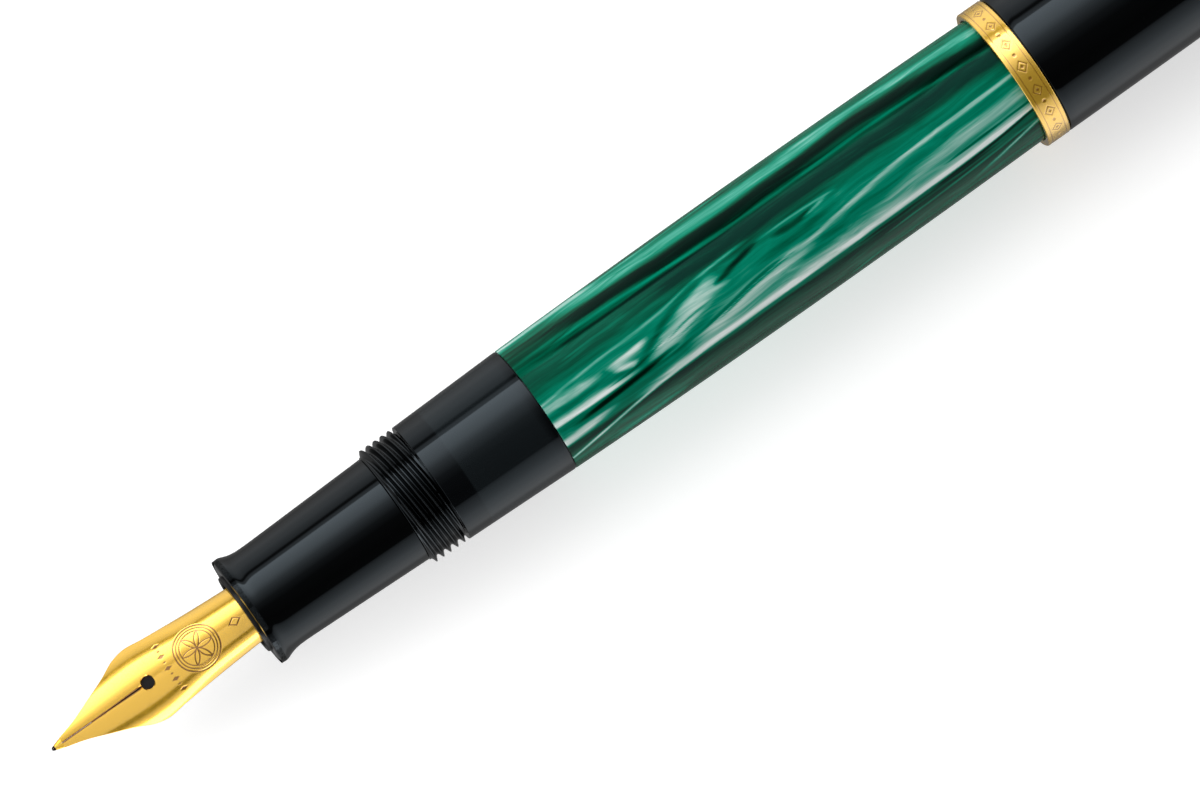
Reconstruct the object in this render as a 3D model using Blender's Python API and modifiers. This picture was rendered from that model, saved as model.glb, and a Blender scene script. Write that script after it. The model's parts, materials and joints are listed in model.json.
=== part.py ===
"""Piston-filling fountain pen, lying posted: its cap sits on the tail of the barrel.

Metres, +Z up. The pen's axis runs along X, with the nib at -X and the crown of the cap at +X. The table is
z = 0, and x = 0 is the middle of the posted pen. A station is a distance along the axis from the tip of the
nib. The pen lies on the band of its cap and on its clip, which is turned down to the +Y side.
"""

import math

import bmesh
import bpy
import numpy as np

# Fits between pieces
SEAM = 0.0001  # between faces that butt together
FIT = 0.0001  # round a piece that sits or slides in another
THREAD_FIT = 0.00015  # round a thread
EDGE = 0.00012  # broken edge of a plated ring

# Nib and feed
NIB_REACH = 0.0187  # tip of the nib to the mouth of the section
NIB_HALF_WIDTH = 0.00325  # at the shoulders
NIB_HEIGHT = 0.00295  # its ridge over the pen's axis, at the mouth
NIB_THICKNESS = 0.00035
NIB_TANG_LENGTH = 0.011  # behind the mouth
NIB_SHOULDER = 0.476  # place of the shoulders, as a share of the reach
TIPPING_LENGTH = 0.00095
TIPPING_RADIUS = 0.00028
SLIT_WIDTH = 0.00012
BREATHER_OFFSET = 0.0002  # shoulders to the breather hole
BREATHER_RADIUS = 0.00055
FEED_TIP_OFFSET = 0.0038  # tip of the nib to that of the feed
FEED_TIP_HALF_WIDTH = 0.00045
FEED_TIP_DEPTH = 0.0004
FEED_SIDE_STEP = 0.00015  # of the nib's edges outside the feed's sides
FIN_COUNT = 9
FIN_START = 0.0014  # mouth to the first slot
FIN_PITCH = 0.0009
FIN_SLOT_WIDTH = 0.0004
FIN_CORE_RADIUS = 0.0013

# Collar of the nib unit and grip section
COLLAR_WALL = 0.00045
COLLAR_RIM = 0.0003  # that shows in front of the mouth
COLLAR_LENGTH = 0.0146
COLLAR_FLANGE = 0.0012
GRIP_LENGTH = 0.0143  # mouth to the first thread
GRIP_WALL = 0.00076  # round the collar, at the mouth
GRIP_STEP = 0.00008  # of the thread's root over the grip
MOUTH_LAND = 0.00056  # width of the flat face round the collar
LIP_HEIGHT = 0.00047  # of the flared lip over the grip
LIP_OFFSET = 0.0005  # mouth to the crest of the lip
LIP_FADE = 0.0004
SPIGOT_LENGTH = 0.0023  # behind the thread, inside the window

# Reservoir with its ink window, and the sleeve over it
RESERVOIR_BORE = 0.00445
RESERVOIR_WALL = 0.00055
HOUSING_LENGTH = 0.0168  # of the sleeve's tail, behind the reservoir
WINDOW_LENGTH = 0.0102
BARREL_LENGTH = 0.0583
BARREL_FRONT_WALL = 0.0005
BARREL_TAIL_WALL = 0.0003
BARREL_SWELL = 0.00024  # of its belly over its front
BELLY_OFFSET = 0.0234  # front of the barrel to its belly

# Cap thread
THREAD_STEP = 0.00027  # of the barrel's front over the thread
THREAD_DEPTH = 0.00046
THREAD_PITCH = 0.000675  # crest to crest
THREAD_CRESTS = 5
CAP_THREAD_CRESTS = 4
CAP_THREAD_OFFSET = 0.0164  # lip of the cap to its thread

# Filling mechanism
PISTON_GAP = 0.0225  # section to piston, when the piston is drawn back
SEAL_LENGTH = 0.0055
SEAL_LIP = 0.001
SEAL_WAIST_DEPTH = 0.00035
SPINDLE_RADIUS = 0.00148
SPINDLE_FIT = 0.00017
SPINDLE_HEAD_LENGTH = 0.0033
ROD_WALL = 0.00095
ROD_FLAT_DEPTH = 0.0005
ROD_NOSE_RADIUS = 0.0015
ROD_NOSE_LENGTH = 0.0036
ROD_END_GAP = 0.0040  # rod to the bottom of the knob
GUIDE_LENGTH = 0.0040
STEM_LENGTH = 0.0110
STEM_WALL = 0.0010
STEM_ROD_GAP = 0.0003
KNOB_LENGTH = 0.0144
KNOB_TAPER = 0.0004
KNOB_DOME = 0.0021  # rounding of its end
KNOB_END_WALL = 0.0036
KNOB_RING_WIDTH = 0.0009
KNOB_RING_STEP = 0.00008  # of the ring over the knob

# Cap
POSTED_GAP = 0.0035  # end of the barrel to the thread in the cap
CAP_TUBE_LENGTH = 0.0500
CAP_WALL = 0.00052  # at the lip
CAP_CROWN_WALL = 0.000355  # at the crown
CAP_TAPER_POWER = 1.5
CAP_FLOOR = 0.0012
BAND_WIDTH = 0.0021
BAND_THICKNESS = 0.0002
BAND_FLANGE = 0.00035
BAND_STEP = 0.00002  # of the band over the tube
INNER_CAP_OFFSET = 0.0029  # thread in the cap to its liner
INNER_CAP_WALL = 0.0004
INNER_CAP_FLOOR = 0.0010
SEAT_GAP = 0.0006  # past the grip's lip, when the thread is done up
SEAT_STEP = 0.0005
NUT_THICKNESS = 0.0015
NUT_ACROSS_FLATS = 0.0060
CROWN_STEM_RADIUS = 0.00185
CROWN_LENGTH = 0.0060
CROWN_STEP = 0.0002  # of the tube over the crown
CROWN_SHOULDER = 0.0026
CROWN_RIM = 0.0004
DISC_RADIUS = 0.0033
DISC_THICKNESS = 0.0005
DISC_PROUD = 0.0001
CLIP_RING_WIDTH = 0.0008
CLIP_RING_STEP = 0.00015  # of the ring over the tube

# Clip
CLIP_LENGTH = 0.0350
CLIP_ROOT_HALF_WIDTH = 0.0015
CLIP_TIP_HALF_WIDTH = 0.0010
CLIP_THICKNESS = 0.0008
CLIP_SHOULDER = 0.0040  # root to where the arm is straight
CLIP_RISE = 0.0011  # gap under the arm at its shoulder
CLIP_FOOT_GAP = 0.0003  # gap under its foot
CLIP_FOOT_LENGTH = 0.0032
CLIP_TIP_LIFT = 0.0006
CLIP_BULB = 0.0005  # extra thickness of the rounded end

# Roundness of turned pieces
ROUND_STEPS = 40
HIDDEN_STEPS = 28
SMALL_STEPS = 20

# Stations
MOUTH = NIB_REACH
COLLAR_FRONT = MOUTH - COLLAR_RIM
THREAD_START = MOUTH + GRIP_LENGTH
WINDOW_START = THREAD_START + THREAD_CRESTS * THREAD_PITCH
SPIGOT_END = WINDOW_START + SPIGOT_LENGTH
BARREL_START = WINDOW_START + WINDOW_LENGTH
BARREL_END = BARREL_START + BARREL_LENGTH
RESERVOIR_END = BARREL_END - HOUSING_LENGTH
PISTON_START = SPIGOT_END + PISTON_GAP
SEAL_END = PISTON_START + SEAL_LENGTH
RING_START = BARREL_END + SEAM
KNOB_START = RING_START + KNOB_RING_WIDTH + SEAM
KNOB_END = KNOB_START + KNOB_LENGTH
SPINDLE_END = KNOB_END - KNOB_END_WALL
KNOB_FLOOR = SPINDLE_END - SPINDLE_HEAD_LENGTH
ROD_END = KNOB_FLOOR - ROD_END_GAP
CAP_THREAD_START = BARREL_END + POSTED_GAP
CAP_LIP = CAP_THREAD_START - CAP_THREAD_OFFSET
CAP_THREAD_END = CAP_THREAD_START + CAP_THREAD_CRESTS * THREAD_PITCH
INNER_CAP_START = CAP_THREAD_END + INNER_CAP_OFFSET
SEAT = CAP_THREAD_END + GRIP_LENGTH - LIP_OFFSET + SEAT_GAP
CAP_TUBE_END = CAP_LIP + CAP_TUBE_LENGTH
NUT_START = CAP_TUBE_END - CAP_FLOOR - SEAM - NUT_THICKNESS
CLIP_RING_START = CAP_TUBE_END + SEAM
CLIP_ROOT = CLIP_RING_START + CLIP_RING_WIDTH / 2
CROWN_START = CLIP_RING_START + CLIP_RING_WIDTH + SEAM
POSTED_LENGTH = CROWN_START + CROWN_LENGTH

# Outline of the nib, from the tipping to the mouth of the section: (share of its reach, share of its half width)
NIB_OUTLINE = (
    (0.053, 0.14),
    (0.136, 0.27),
    (0.237, 0.49),
    (0.350, 0.75),
    (0.410, 0.915),
    (NIB_SHOULDER, 1.0),
    (0.570, 0.95),
    (0.770, 0.855),
    (1.000, 0.775),
)
# Ridge of the nib over the pen's axis: (share of its reach, share of its height)
NIB_RIDGE = ((0.053, 0.21), (0.20, 0.434), (NIB_SHOULDER, 0.78), (0.70, 0.936), (1.0, 1.0))
# Radius of the nib's arch: (share of its reach, share of its half width)
NIB_ARCH = ((0.053, 0.92), (NIB_SHOULDER, 1.26), (0.75, 0.955), (1.0, 0.831))


def smooth_line(points, at):
    """Height at one place of the smooth line through a few (place, height) points.

    Each stretch is a cubic that leans at its ends as its neighbours do. Past the last point the line stays level.
    """
    places, heights = np.array(points, float).T
    leans = np.gradient(heights, places)
    i = int(np.clip(np.searchsorted(places, at) - 1, 0, len(places) - 2))
    span = places[i + 1] - places[i]
    rise = heights[i + 1] - heights[i]
    u = min(max((at - places[i]) / span, 0.0), 1.0)
    bend = (leans[i] * span - rise) * (1 - u) - (leans[i + 1] * span - rise) * u
    return float(heights[i] + rise * u + bend * u * (1 - u))


def arc(centre, radii, start, end, count):
    """Points (station, radius) along part of an ellipse, from one angle to another in degrees.

    Angle 0 points at greater stations and 90 away from the axis.
    """
    angles = np.radians(np.linspace(start, end, count))
    return [(centre[0] + radii[0] * math.cos(a), centre[1] + radii[1] * math.sin(a)) for a in angles]


def nib_half_width(station):
    return NIB_HALF_WIDTH * smooth_line(NIB_OUTLINE, station / NIB_REACH)


def nib_ridge(station):
    return NIB_HEIGHT * smooth_line(NIB_RIDGE, station / NIB_REACH)


def nib_arch(station):
    return NIB_HALF_WIDTH * smooth_line(NIB_ARCH, station / NIB_REACH)


def arch(height, radius, half_width, count):
    """Points (y, z) over an arch of this radius, from its left edge to its right one."""
    ys = np.linspace(-half_width, half_width, count)
    return [(y, height - radius + math.sqrt(radius**2 - y**2)) for y in ys]


# Radii that follow from what a piece goes round or into
TANG_ARCH = arch(nib_ridge(MOUTH), nib_arch(MOUTH), nib_half_width(MOUTH), 15)
TANG_REACH = max(math.hypot(y, z) for y, z in TANG_ARCH)
COLLAR_BORE = TANG_REACH + FIT
COLLAR_RADIUS = COLLAR_BORE + COLLAR_WALL
COLLAR_SOCKET_RADIUS = COLLAR_RADIUS + FIT
RESERVOIR_RADIUS = RESERVOIR_BORE + RESERVOIR_WALL
SLEEVE_BORE = RESERVOIR_RADIUS + FIT
BARREL_FRONT_RADIUS = SLEEVE_BORE + BARREL_FRONT_WALL
BARREL_TAIL_RADIUS = SLEEVE_BORE + BARREL_TAIL_WALL
BELLY_RADIUS = BARREL_FRONT_RADIUS + BARREL_SWELL
THREAD_RADIUS = BARREL_FRONT_RADIUS - THREAD_STEP
THREAD_ROOT_RADIUS = THREAD_RADIUS - THREAD_DEPTH
GRIP_REAR_RADIUS = THREAD_ROOT_RADIUS - GRIP_STEP
GRIP_FRONT_RADIUS = COLLAR_SOCKET_RADIUS + GRIP_WALL
ROD_BORE = SPINDLE_RADIUS + SPINDLE_FIT
ROD_RADIUS = ROD_BORE + ROD_WALL
ROD_FLAT = ROD_RADIUS - ROD_FLAT_DEPTH
STEM_BORE = ROD_RADIUS + STEM_ROD_GAP
STEM_RADIUS = STEM_BORE + STEM_WALL
CAP_THREAD_CREST = THREAD_ROOT_RADIUS + THREAD_DEPTH / 2
CAP_THREAD_ROOT = THREAD_RADIUS + THREAD_FIT
KNOB_RING_RADIUS = CAP_THREAD_CREST - FIT
KNOB_RADIUS = KNOB_RING_RADIUS - KNOB_RING_STEP


def grip_radius(station):
    """A straight taper with a flared lip at the mouth. Behind its crest the lip fades as (1 + u) e^-u."""
    behind = station - MOUTH
    taper = GRIP_FRONT_RADIUS + (GRIP_REAR_RADIUS - GRIP_FRONT_RADIUS) * behind / GRIP_LENGTH
    u = max(behind - LIP_OFFSET, 0.0) / LIP_FADE
    return taper + LIP_HEIGHT * (1 + u) * math.exp(-u)


def barrel_radius(station):
    """The barrel swells in a parabola to its belly and narrows in another one to its tail."""
    behind = station - BARREL_START
    if behind < BELLY_OFFSET:
        share, end = 1 - behind / BELLY_OFFSET, BARREL_FRONT_RADIUS
    else:
        share, end = (behind - BELLY_OFFSET) / (BARREL_LENGTH - BELLY_OFFSET), BARREL_TAIL_RADIUS
    return BELLY_RADIUS - (BELLY_RADIUS - end) * share**2


LIP_RADIUS = grip_radius(MOUTH + LIP_OFFSET)
INNER_CAP_BORE = LIP_RADIUS + FIT
INNER_CAP_RADIUS = INNER_CAP_BORE + INNER_CAP_WALL
CAP_REAR_BORE = INNER_CAP_RADIUS + FIT
CAP_CROWN_RADIUS = CAP_REAR_BORE + CAP_CROWN_WALL
CAP_BORE = barrel_radius(CAP_LIP) + FIT
CAP_RADIUS = CAP_BORE + CAP_WALL
BAND_RADIUS = CAP_RADIUS + BAND_STEP
BAND_BORE = BAND_RADIUS - BAND_THICKNESS
CROWN_RADIUS = CAP_CROWN_RADIUS - CROWN_STEP
CLIP_RING_RADIUS = CAP_CROWN_RADIUS + CLIP_RING_STEP
CLIP_PIVOT_HEIGHT = CLIP_RING_RADIUS + CLIP_THICKNESS / 2
STEM_HOLE_RADIUS = CROWN_STEM_RADIUS + FIT
DISC_SOCKET_RADIUS = DISC_RADIUS + FIT


def cap_radius(station):
    """The cap is widest at its lip and narrows towards its crown, slowly at first."""
    share = max(station - CAP_LIP, 0.0) / CAP_TUBE_LENGTH
    return CAP_RADIUS - (CAP_RADIUS - CAP_CROWN_RADIUS) * share**CAP_TAPER_POWER


# Scene and helpers
def clear_scene():
    for obj in list(bpy.data.objects):
        bpy.data.objects.remove(obj, do_unlink=True)


def add_collection(name, hidden=False):
    collection = bpy.data.collections.new(name)
    collection.hide_render = hidden
    bpy.context.scene.collection.children.link(collection)
    return collection


def linear(channel):
    return channel / 12.92 if channel <= 0.04045 else ((channel + 0.055) / 1.055) ** 2.4


def finish(name, colour, roughness, metallic=0.0, transmission=0.0):
    """A Principled material. The colour is an sRGB hex string."""
    material = bpy.data.materials.new(name)
    material.use_nodes = True
    shader = material.node_tree.nodes["Principled BSDF"]
    channels = [linear(int(colour[i : i + 2], 16) / 255) for i in (1, 3, 5)]
    shader.inputs["Base Color"].default_value = (*channels, 1.0)
    shader.inputs["Roughness"].default_value = roughness
    shader.inputs["Metallic"].default_value = metallic
    shader.inputs["Transmission Weight"].default_value = transmission
    material.diffuse_color = (*channels, 1.0)
    return material


def add_empty(name, parent, station, rotation=(0.0, 0.0, 0.0), height=0.0):
    """A guide that pieces hang on. Its place is along and above its parent's axis."""
    empty = bpy.data.objects.new(name, None)
    empty.empty_display_size = 0.005
    empty.parent = parent
    empty.location = (station, 0.0, height)
    empty.rotation_euler = rotation
    PEN.objects.link(empty)
    return empty


def add_piece(name, mesh, material, parent, station, rotation=(0.0, 0.0, 0.0)):
    """A named piece whose origin lies on its parent's axis, at a station counted from its parent."""
    piece = bpy.data.objects.new(name, mesh)
    mesh.materials.append(material)
    piece.parent = parent
    piece.location = (station, 0.0, 0.0)
    piece.rotation_euler = rotation
    PEN.objects.link(piece)
    return piece


def add_cutter(name, mesh, parent, station, rotation=(0.0, 0.0, 0.0)):
    cutter = bpy.data.objects.new(name, mesh)
    cutter.parent = parent
    cutter.location = (station, 0.0, 0.0)
    cutter.rotation_euler = rotation
    cutter.hide_render = True
    cutter.display_type = "WIRE"
    CUTTERS.objects.link(cutter)
    return cutter


def cut(piece, cutter, solver="EXACT"):
    boolean = piece.modifiers.new("cut " + cutter.name, "BOOLEAN")
    boolean.operation = "DIFFERENCE"
    boolean.solver = solver
    boolean.object = cutter


def turned_mesh(name, outline, steps):
    """The mesh of an outline turned round the local Z axis.

    The outline holds (height, radius) points: a loop, or a line that starts and ends on the axis.
    """
    points = [(radius, 0.0, height) for height, radius in outline]
    xs, _, zs = np.array(points).T
    if np.sum(xs * np.roll(zs, -1) - np.roll(xs, -1) * zs) > 0:
        points.reverse()
    is_loop = min(radius for _, radius in outline) > 0
    edges = [(i, i + 1) for i in range(len(points) - 1)]
    if is_loop:
        edges.append((len(points) - 1, 0))
    profile = bpy.data.meshes.new(name + " profile")
    profile.from_pydata(points, edges, [])
    holder = bpy.data.objects.new(name + " profile", profile)
    bpy.context.scene.collection.objects.link(holder)
    screw = holder.modifiers.new("turn", "SCREW")
    screw.axis = "Z"
    screw.steps = steps
    screw.render_steps = steps
    screw.use_merge_vertices = True
    screw.merge_threshold = 1e-6
    bpy.context.view_layer.update()
    evaluated = holder.evaluated_get(bpy.context.evaluated_depsgraph_get())
    mesh = bpy.data.meshes.new_from_object(evaluated)
    mesh.name = name
    bpy.data.objects.remove(holder, do_unlink=True)
    mesh.shade_smooth()
    mesh.set_sharp_from_angle(angle=math.radians(30))
    return mesh


ALONG_X = (0.0, math.pi / 2, 0.0)  # turns a local Z axis on to the pen's axis


def add_turned(name, outline, material, parent, base=0.0, steps=ROUND_STEPS):
    """A turned piece. The outline's stations are the pen's, and base is its parent's own station. The piece's
    origin is at its front end."""
    front = min(station for station, _ in outline)
    mesh = turned_mesh(name, [(station - front, radius) for station, radius in outline], steps)
    return add_piece(name, mesh, material, parent, front - base, ALONG_X)


def loft_mesh(name, rings):
    """A closed skin over rings of points, each ring with the same count, with flat ends."""
    bm = bmesh.new()
    rows = [[bm.verts.new(point) for point in ring] for ring in rings]
    count = len(rows[0])
    for row, following in zip(rows, rows[1:]):
        for i in range(count):
            bm.faces.new((row[i], row[(i + 1) % count], following[(i + 1) % count], following[i]))
    bm.faces.new(rows[0])
    bm.faces.new(list(reversed(rows[-1])))
    bmesh.ops.recalc_face_normals(bm, faces=bm.faces)
    mesh = bpy.data.meshes.new(name)
    bm.to_mesh(mesh)
    bm.free()
    mesh.shade_smooth()
    mesh.set_sharp_from_angle(angle=math.radians(30))
    return mesh


def box_mesh(name, low, high):
    bm = bmesh.new()
    bmesh.ops.create_cube(bm, size=1.0)
    size = np.subtract(high, low)
    middle = np.add(high, low) / 2
    for vertex in bm.verts:
        vertex.co = [middle[i] + size[i] * vertex.co[i] for i in range(3)]
    mesh = bpy.data.meshes.new(name)
    bm.to_mesh(mesh)
    bm.free()
    return mesh


def cylinder_outline(length, radius):
    """The outline of a plain cylinder, for turned_mesh."""
    return [(0, 0), (0, radius), (length, radius), (length, 0)]


# Nib unit
def build_nib():
    """A sheet bent to an arch that is tight in the collar and flatter at the shoulders."""
    first = NIB_OUTLINE[0][0] * NIB_REACH
    rings = []
    for x in [*np.linspace(first, MOUTH, 20), MOUTH + NIB_TANG_LENGTH]:
        radius = nib_arch(x)
        inner_radius = radius - NIB_THICKNESS
        inner_half_width = nib_half_width(x) * inner_radius / radius
        over = arch(nib_ridge(x), radius, nib_half_width(x), 15)
        under = arch(nib_ridge(x) - NIB_THICKNESS, inner_radius, inner_half_width, 15)
        rings.append([(x, y, z) for y, z in over + under[::-1]])
    nib = add_piece("nib", loft_mesh("nib", rings), GOLD, AXIS, 0.0)
    breather = NIB_SHOULDER * NIB_REACH + BREATHER_OFFSET
    above = NIB_HEIGHT + 0.001
    hole = turned_mesh("breather_hole", cylinder_outline(above, BREATHER_RADIUS), 24)
    cut(nib, add_cutter("breather_hole", hole, AXIS, breather))
    half_slit = SLIT_WIDTH / 2
    slit = box_mesh("slit", (-0.001, -half_slit, -above), (breather, half_slit, above))
    # The slit is too thin for the exact solver.
    cut(nib, add_cutter("slit", slit, AXIS, 0.0), solver="MANIFOLD")


def build_tipping():
    """A pellet with a round end, in two halves on either side of the slit."""
    middle = nib_ridge(0.0) - NIB_THICKNESS / 2
    half_slit = SLIT_WIDTH / 2
    for name, side in (("tipping_left", 1), ("tipping_right", -1)):
        rings = []
        for share in (0.0, 0.12, 0.3, 0.55, 0.85, 1.0):
            round_end = math.sqrt(max(1 - (1 - min(share / 0.55, 1.0)) ** 2, 0.08))
            radius = TIPPING_RADIUS * round_end
            start = math.asin(half_slit / radius)
            angles = np.linspace(start, math.pi - start, 9)
            points = [(side * radius * math.sin(a), middle + radius * math.cos(a)) for a in angles]
            rings.append([(share * TIPPING_LENGTH, y, z) for y, z in points])
        add_piece(name, loft_mesh(name, rings), ALLOY, AXIS, 0.0)


def build_feed():
    """A keel that follows the nib's arch, with fins cut across it. It fills the lower half of the collar."""
    full = MOUTH - FIN_START - FIN_COUNT / 2 * FIN_PITCH
    rings = []
    for x in [*np.linspace(FEED_TIP_OFFSET, MOUTH, 12), COLLAR_FRONT + COLLAR_LENGTH]:
        share = min((x - FEED_TIP_OFFSET) / (full - FEED_TIP_OFFSET), 1.0)
        swell = math.sin(share * math.pi / 2)
        radius = nib_arch(x) - NIB_THICKNESS - FIT
        widest = nib_half_width(x) * radius / nib_arch(x) - FEED_SIDE_STEP
        half_width = FEED_TIP_HALF_WIDTH + (widest - FEED_TIP_HALF_WIDTH) * swell
        top = arch(nib_ridge(x) - NIB_THICKNESS - FIT, radius, half_width, 9)
        edge = top[-1][1]
        depth = FEED_TIP_DEPTH + (TANG_REACH + edge - FEED_TIP_DEPTH) * swell
        angles = np.linspace(0, math.pi, 13)[1:-1]
        ys = [half_width * math.copysign(abs(math.cos(a)) ** 0.8, math.cos(a)) for a in angles]
        bottom = [(y, edge - depth * math.sin(a)) for y, a in zip(ys, angles)]
        rings.append([(x, y, z) for y, z in top + bottom])
    feed = add_piece("feed", loft_mesh("feed", rings), EBONITE, AXIS, 0.0)
    reach = 2 * TANG_REACH
    washer = [(0, FIN_CORE_RADIUS), (0, reach), (FIN_SLOT_WIDTH, reach), (FIN_SLOT_WIDTH, FIN_CORE_RADIUS)]
    for i in range(FIN_COUNT):
        mesh = turned_mesh(f"fin_slot_{i + 1}", washer, 16)
        station = MOUTH - FIN_START - i * FIN_PITCH
        cut(feed, add_cutter(f"fin_slot_{i + 1}", mesh, AXIS, station, ALONG_X))


def build_collar():
    """The threaded sleeve that holds nib and feed. Its rim shows in the mouth of the section."""
    end = COLLAR_FRONT + COLLAR_LENGTH
    flange_end = COLLAR_FRONT + COLLAR_FLANGE
    outline = [
        (COLLAR_FRONT, COLLAR_BORE),
        (COLLAR_FRONT, COLLAR_RADIUS - EDGE),
        (COLLAR_FRONT + EDGE, COLLAR_RADIUS),
        (flange_end, COLLAR_RADIUS),
        (flange_end, COLLAR_RADIUS - FIT),
        (end, COLLAR_RADIUS - FIT),
        (end, COLLAR_BORE),
    ]
    add_turned("nib_collar", outline, EBONITE, AXIS, steps=HIDDEN_STEPS)


# Grip, window and barrel
def thread_outline(start, crests, root, crest):
    """Ridges one pitch apart, each a blunt V between the root and the crest radius."""
    outline = [(start, root)]
    for i in range(crests):
        middle = start + (i + 0.5) * THREAD_PITCH
        outline += [(middle - 0.08 * THREAD_PITCH, crest), (middle + 0.08 * THREAD_PITCH, crest)]
        outline.append((start + (i + 1) * THREAD_PITCH, root))
    return outline


def build_grip():
    """The bore takes the collar with its flange, and a spigot behind the thread enters the window."""
    flange_end = COLLAR_FRONT + COLLAR_FLANGE + SEAM
    crest = MOUTH + LIP_OFFSET
    mouth_radius = COLLAR_SOCKET_RADIUS + MOUTH_LAND
    offsets = (0.0009, 0.0014, 0.0021, 0.0032, 0.0075)
    outline = [
        (flange_end, COLLAR_RADIUS),
        (flange_end, COLLAR_SOCKET_RADIUS),
        (MOUTH, COLLAR_SOCKET_RADIUS),
        *arc((crest, mouth_radius), (LIP_OFFSET, LIP_RADIUS - mouth_radius), 180, 90, 5),
        *[(MOUTH + offset, grip_radius(MOUTH + offset)) for offset in offsets],
        (THREAD_START - THREAD_PITCH / 2, grip_radius(THREAD_START)),
        *thread_outline(THREAD_START, THREAD_CRESTS, THREAD_ROOT_RADIUS, THREAD_RADIUS),
        (WINDOW_START, RESERVOIR_BORE - FIT),
        (SPIGOT_END, RESERVOIR_BORE - FIT),
        (SPIGOT_END, COLLAR_RADIUS),
    ]
    add_turned("grip_section", outline, BLACK_RESIN, AXIS)


def build_reservoir():
    """A tube whose thick front is the ink window. The barrel sleeve covers the rest."""
    front = WINDOW_START + SEAM
    window_end = BARREL_START - SEAM
    outline = [
        (front, RESERVOIR_BORE),
        (front, THREAD_RADIUS),
        (window_end, BARREL_FRONT_RADIUS),
        (window_end, RESERVOIR_RADIUS),
        (RESERVOIR_END, RESERVOIR_RADIUS),
        (RESERVOIR_END, RESERVOIR_BORE),
    ]
    add_turned("reservoir_tube", outline, SMOKED_RESIN, AXIS)


def build_barrel():
    """The marbled sleeve over the reservoir and the housing of the piston."""
    outside = [(x, barrel_radius(x)) for x in np.linspace(BARREL_START, BARREL_END - EDGE, 9)]
    outline = [
        (BARREL_START, SLEEVE_BORE),
        *outside,
        (BARREL_END, BARREL_TAIL_RADIUS - EDGE),
        (BARREL_END, SLEEVE_BORE),
    ]
    add_turned("barrel_sleeve", outline, MARBLED_RESIN, AXIS)


# Filling mechanism
def cut_flats(piece, name, parent, station, length, radius, flat):
    """Cuts two flats, at this distance from the axis, along a shaft of this radius."""
    reach = radius + 0.001
    for side in (1, -1):
        low, high = sorted((side * flat, side * reach))
        mesh = box_mesh(name, (0, -reach, low), (length, reach, high))
        cut(piece, add_cutter(f"{name}_{'upper' if side > 0 else 'lower'}", mesh, parent, station))


def build_housing():
    """A guide for the flatted rod, inside the end of the reservoir, and behind it the knob stem's socket."""
    shoulder = RESERVOIR_END + SEAM
    guide_start = shoulder - GUIDE_LENGTH
    outline = [
        (guide_start, ROD_FLAT),
        (guide_start, RESERVOIR_BORE - FIT),
        (shoulder, RESERVOIR_BORE - FIT),
        (shoulder, RESERVOIR_RADIUS),
        (BARREL_END, RESERVOIR_RADIUS),
        (BARREL_END, STEM_RADIUS + THREAD_FIT),
        (shoulder + SEAM, STEM_RADIUS + THREAD_FIT),
        (shoulder + SEAM, ROD_FLAT),
    ]
    housing = add_turned("piston_housing", outline, POLYMER, AXIS, steps=HIDDEN_STEPS)
    start = guide_start - 0.001
    length = GUIDE_LENGTH + 0.003
    bore_radius = ROD_RADIUS + FIT
    bore = turned_mesh("guide_bore", cylinder_outline(length, bore_radius), HIDDEN_STEPS)
    cutter = add_cutter("guide_bore", bore, AXIS, start, ALONG_X)
    cut_flats(cutter, "guide_flat", AXIS, start - 0.001, length + 0.002, bore_radius, ROD_FLAT + FIT)
    cut(housing, cutter)


def build_piston():
    """The seal is pushed on the rod's nose. The rod is hollow for the spindle and flatted for its guide."""
    nose_start = SEAL_END - ROD_NOSE_LENGTH
    seal_radius = RESERVOIR_BORE - FIT
    waist_radius = seal_radius - SEAL_WAIST_DEPTH
    seal = [
        (nose_start - SEAM, 0),
        (nose_start - SEAM, ROD_NOSE_RADIUS + FIT),
        (SEAL_END, ROD_NOSE_RADIUS + FIT),
        (SEAL_END, seal_radius),
        (SEAL_END - SEAL_LIP, seal_radius),
        (SEAL_END - 1.5 * SEAL_LIP, waist_radius),
        (PISTON_START + 1.5 * SEAL_LIP, waist_radius),
        (PISTON_START + SEAL_LIP, seal_radius),
        (PISTON_START, seal_radius),
        (PISTON_START, 0),
    ]
    add_turned("piston_seal", seal, RUBBER, PISTON, PISTON_START, HIDDEN_STEPS)
    rod_start = SEAL_END + SEAM
    rod = [
        (nose_start, 0),
        (nose_start, ROD_NOSE_RADIUS),
        (rod_start, ROD_NOSE_RADIUS),
        (rod_start, ROD_RADIUS),
        (ROD_END, ROD_RADIUS),
        (ROD_END, ROD_BORE),
        (rod_start + ROD_WALL, ROD_BORE),
        (rod_start + ROD_WALL, 0),
    ]
    piece = add_turned("piston_rod", rod, POLYMER, PISTON, PISTON_START, HIDDEN_STEPS)
    flat_start = rod_start - PISTON_START
    cut_flats(piece, "rod_flat", PISTON, flat_start, ROD_END - rod_start + 0.001, ROD_RADIUS, ROD_FLAT)


def trim_ring(start, width, inner, outer):
    """The outline of a plated ring with its two outer edges broken."""
    return [
        (start, inner),
        (start, outer - EDGE),
        (start + EDGE, outer),
        (start + width - EDGE, outer),
        (start + width, outer - EDGE),
        (start + width, inner),
    ]


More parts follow.
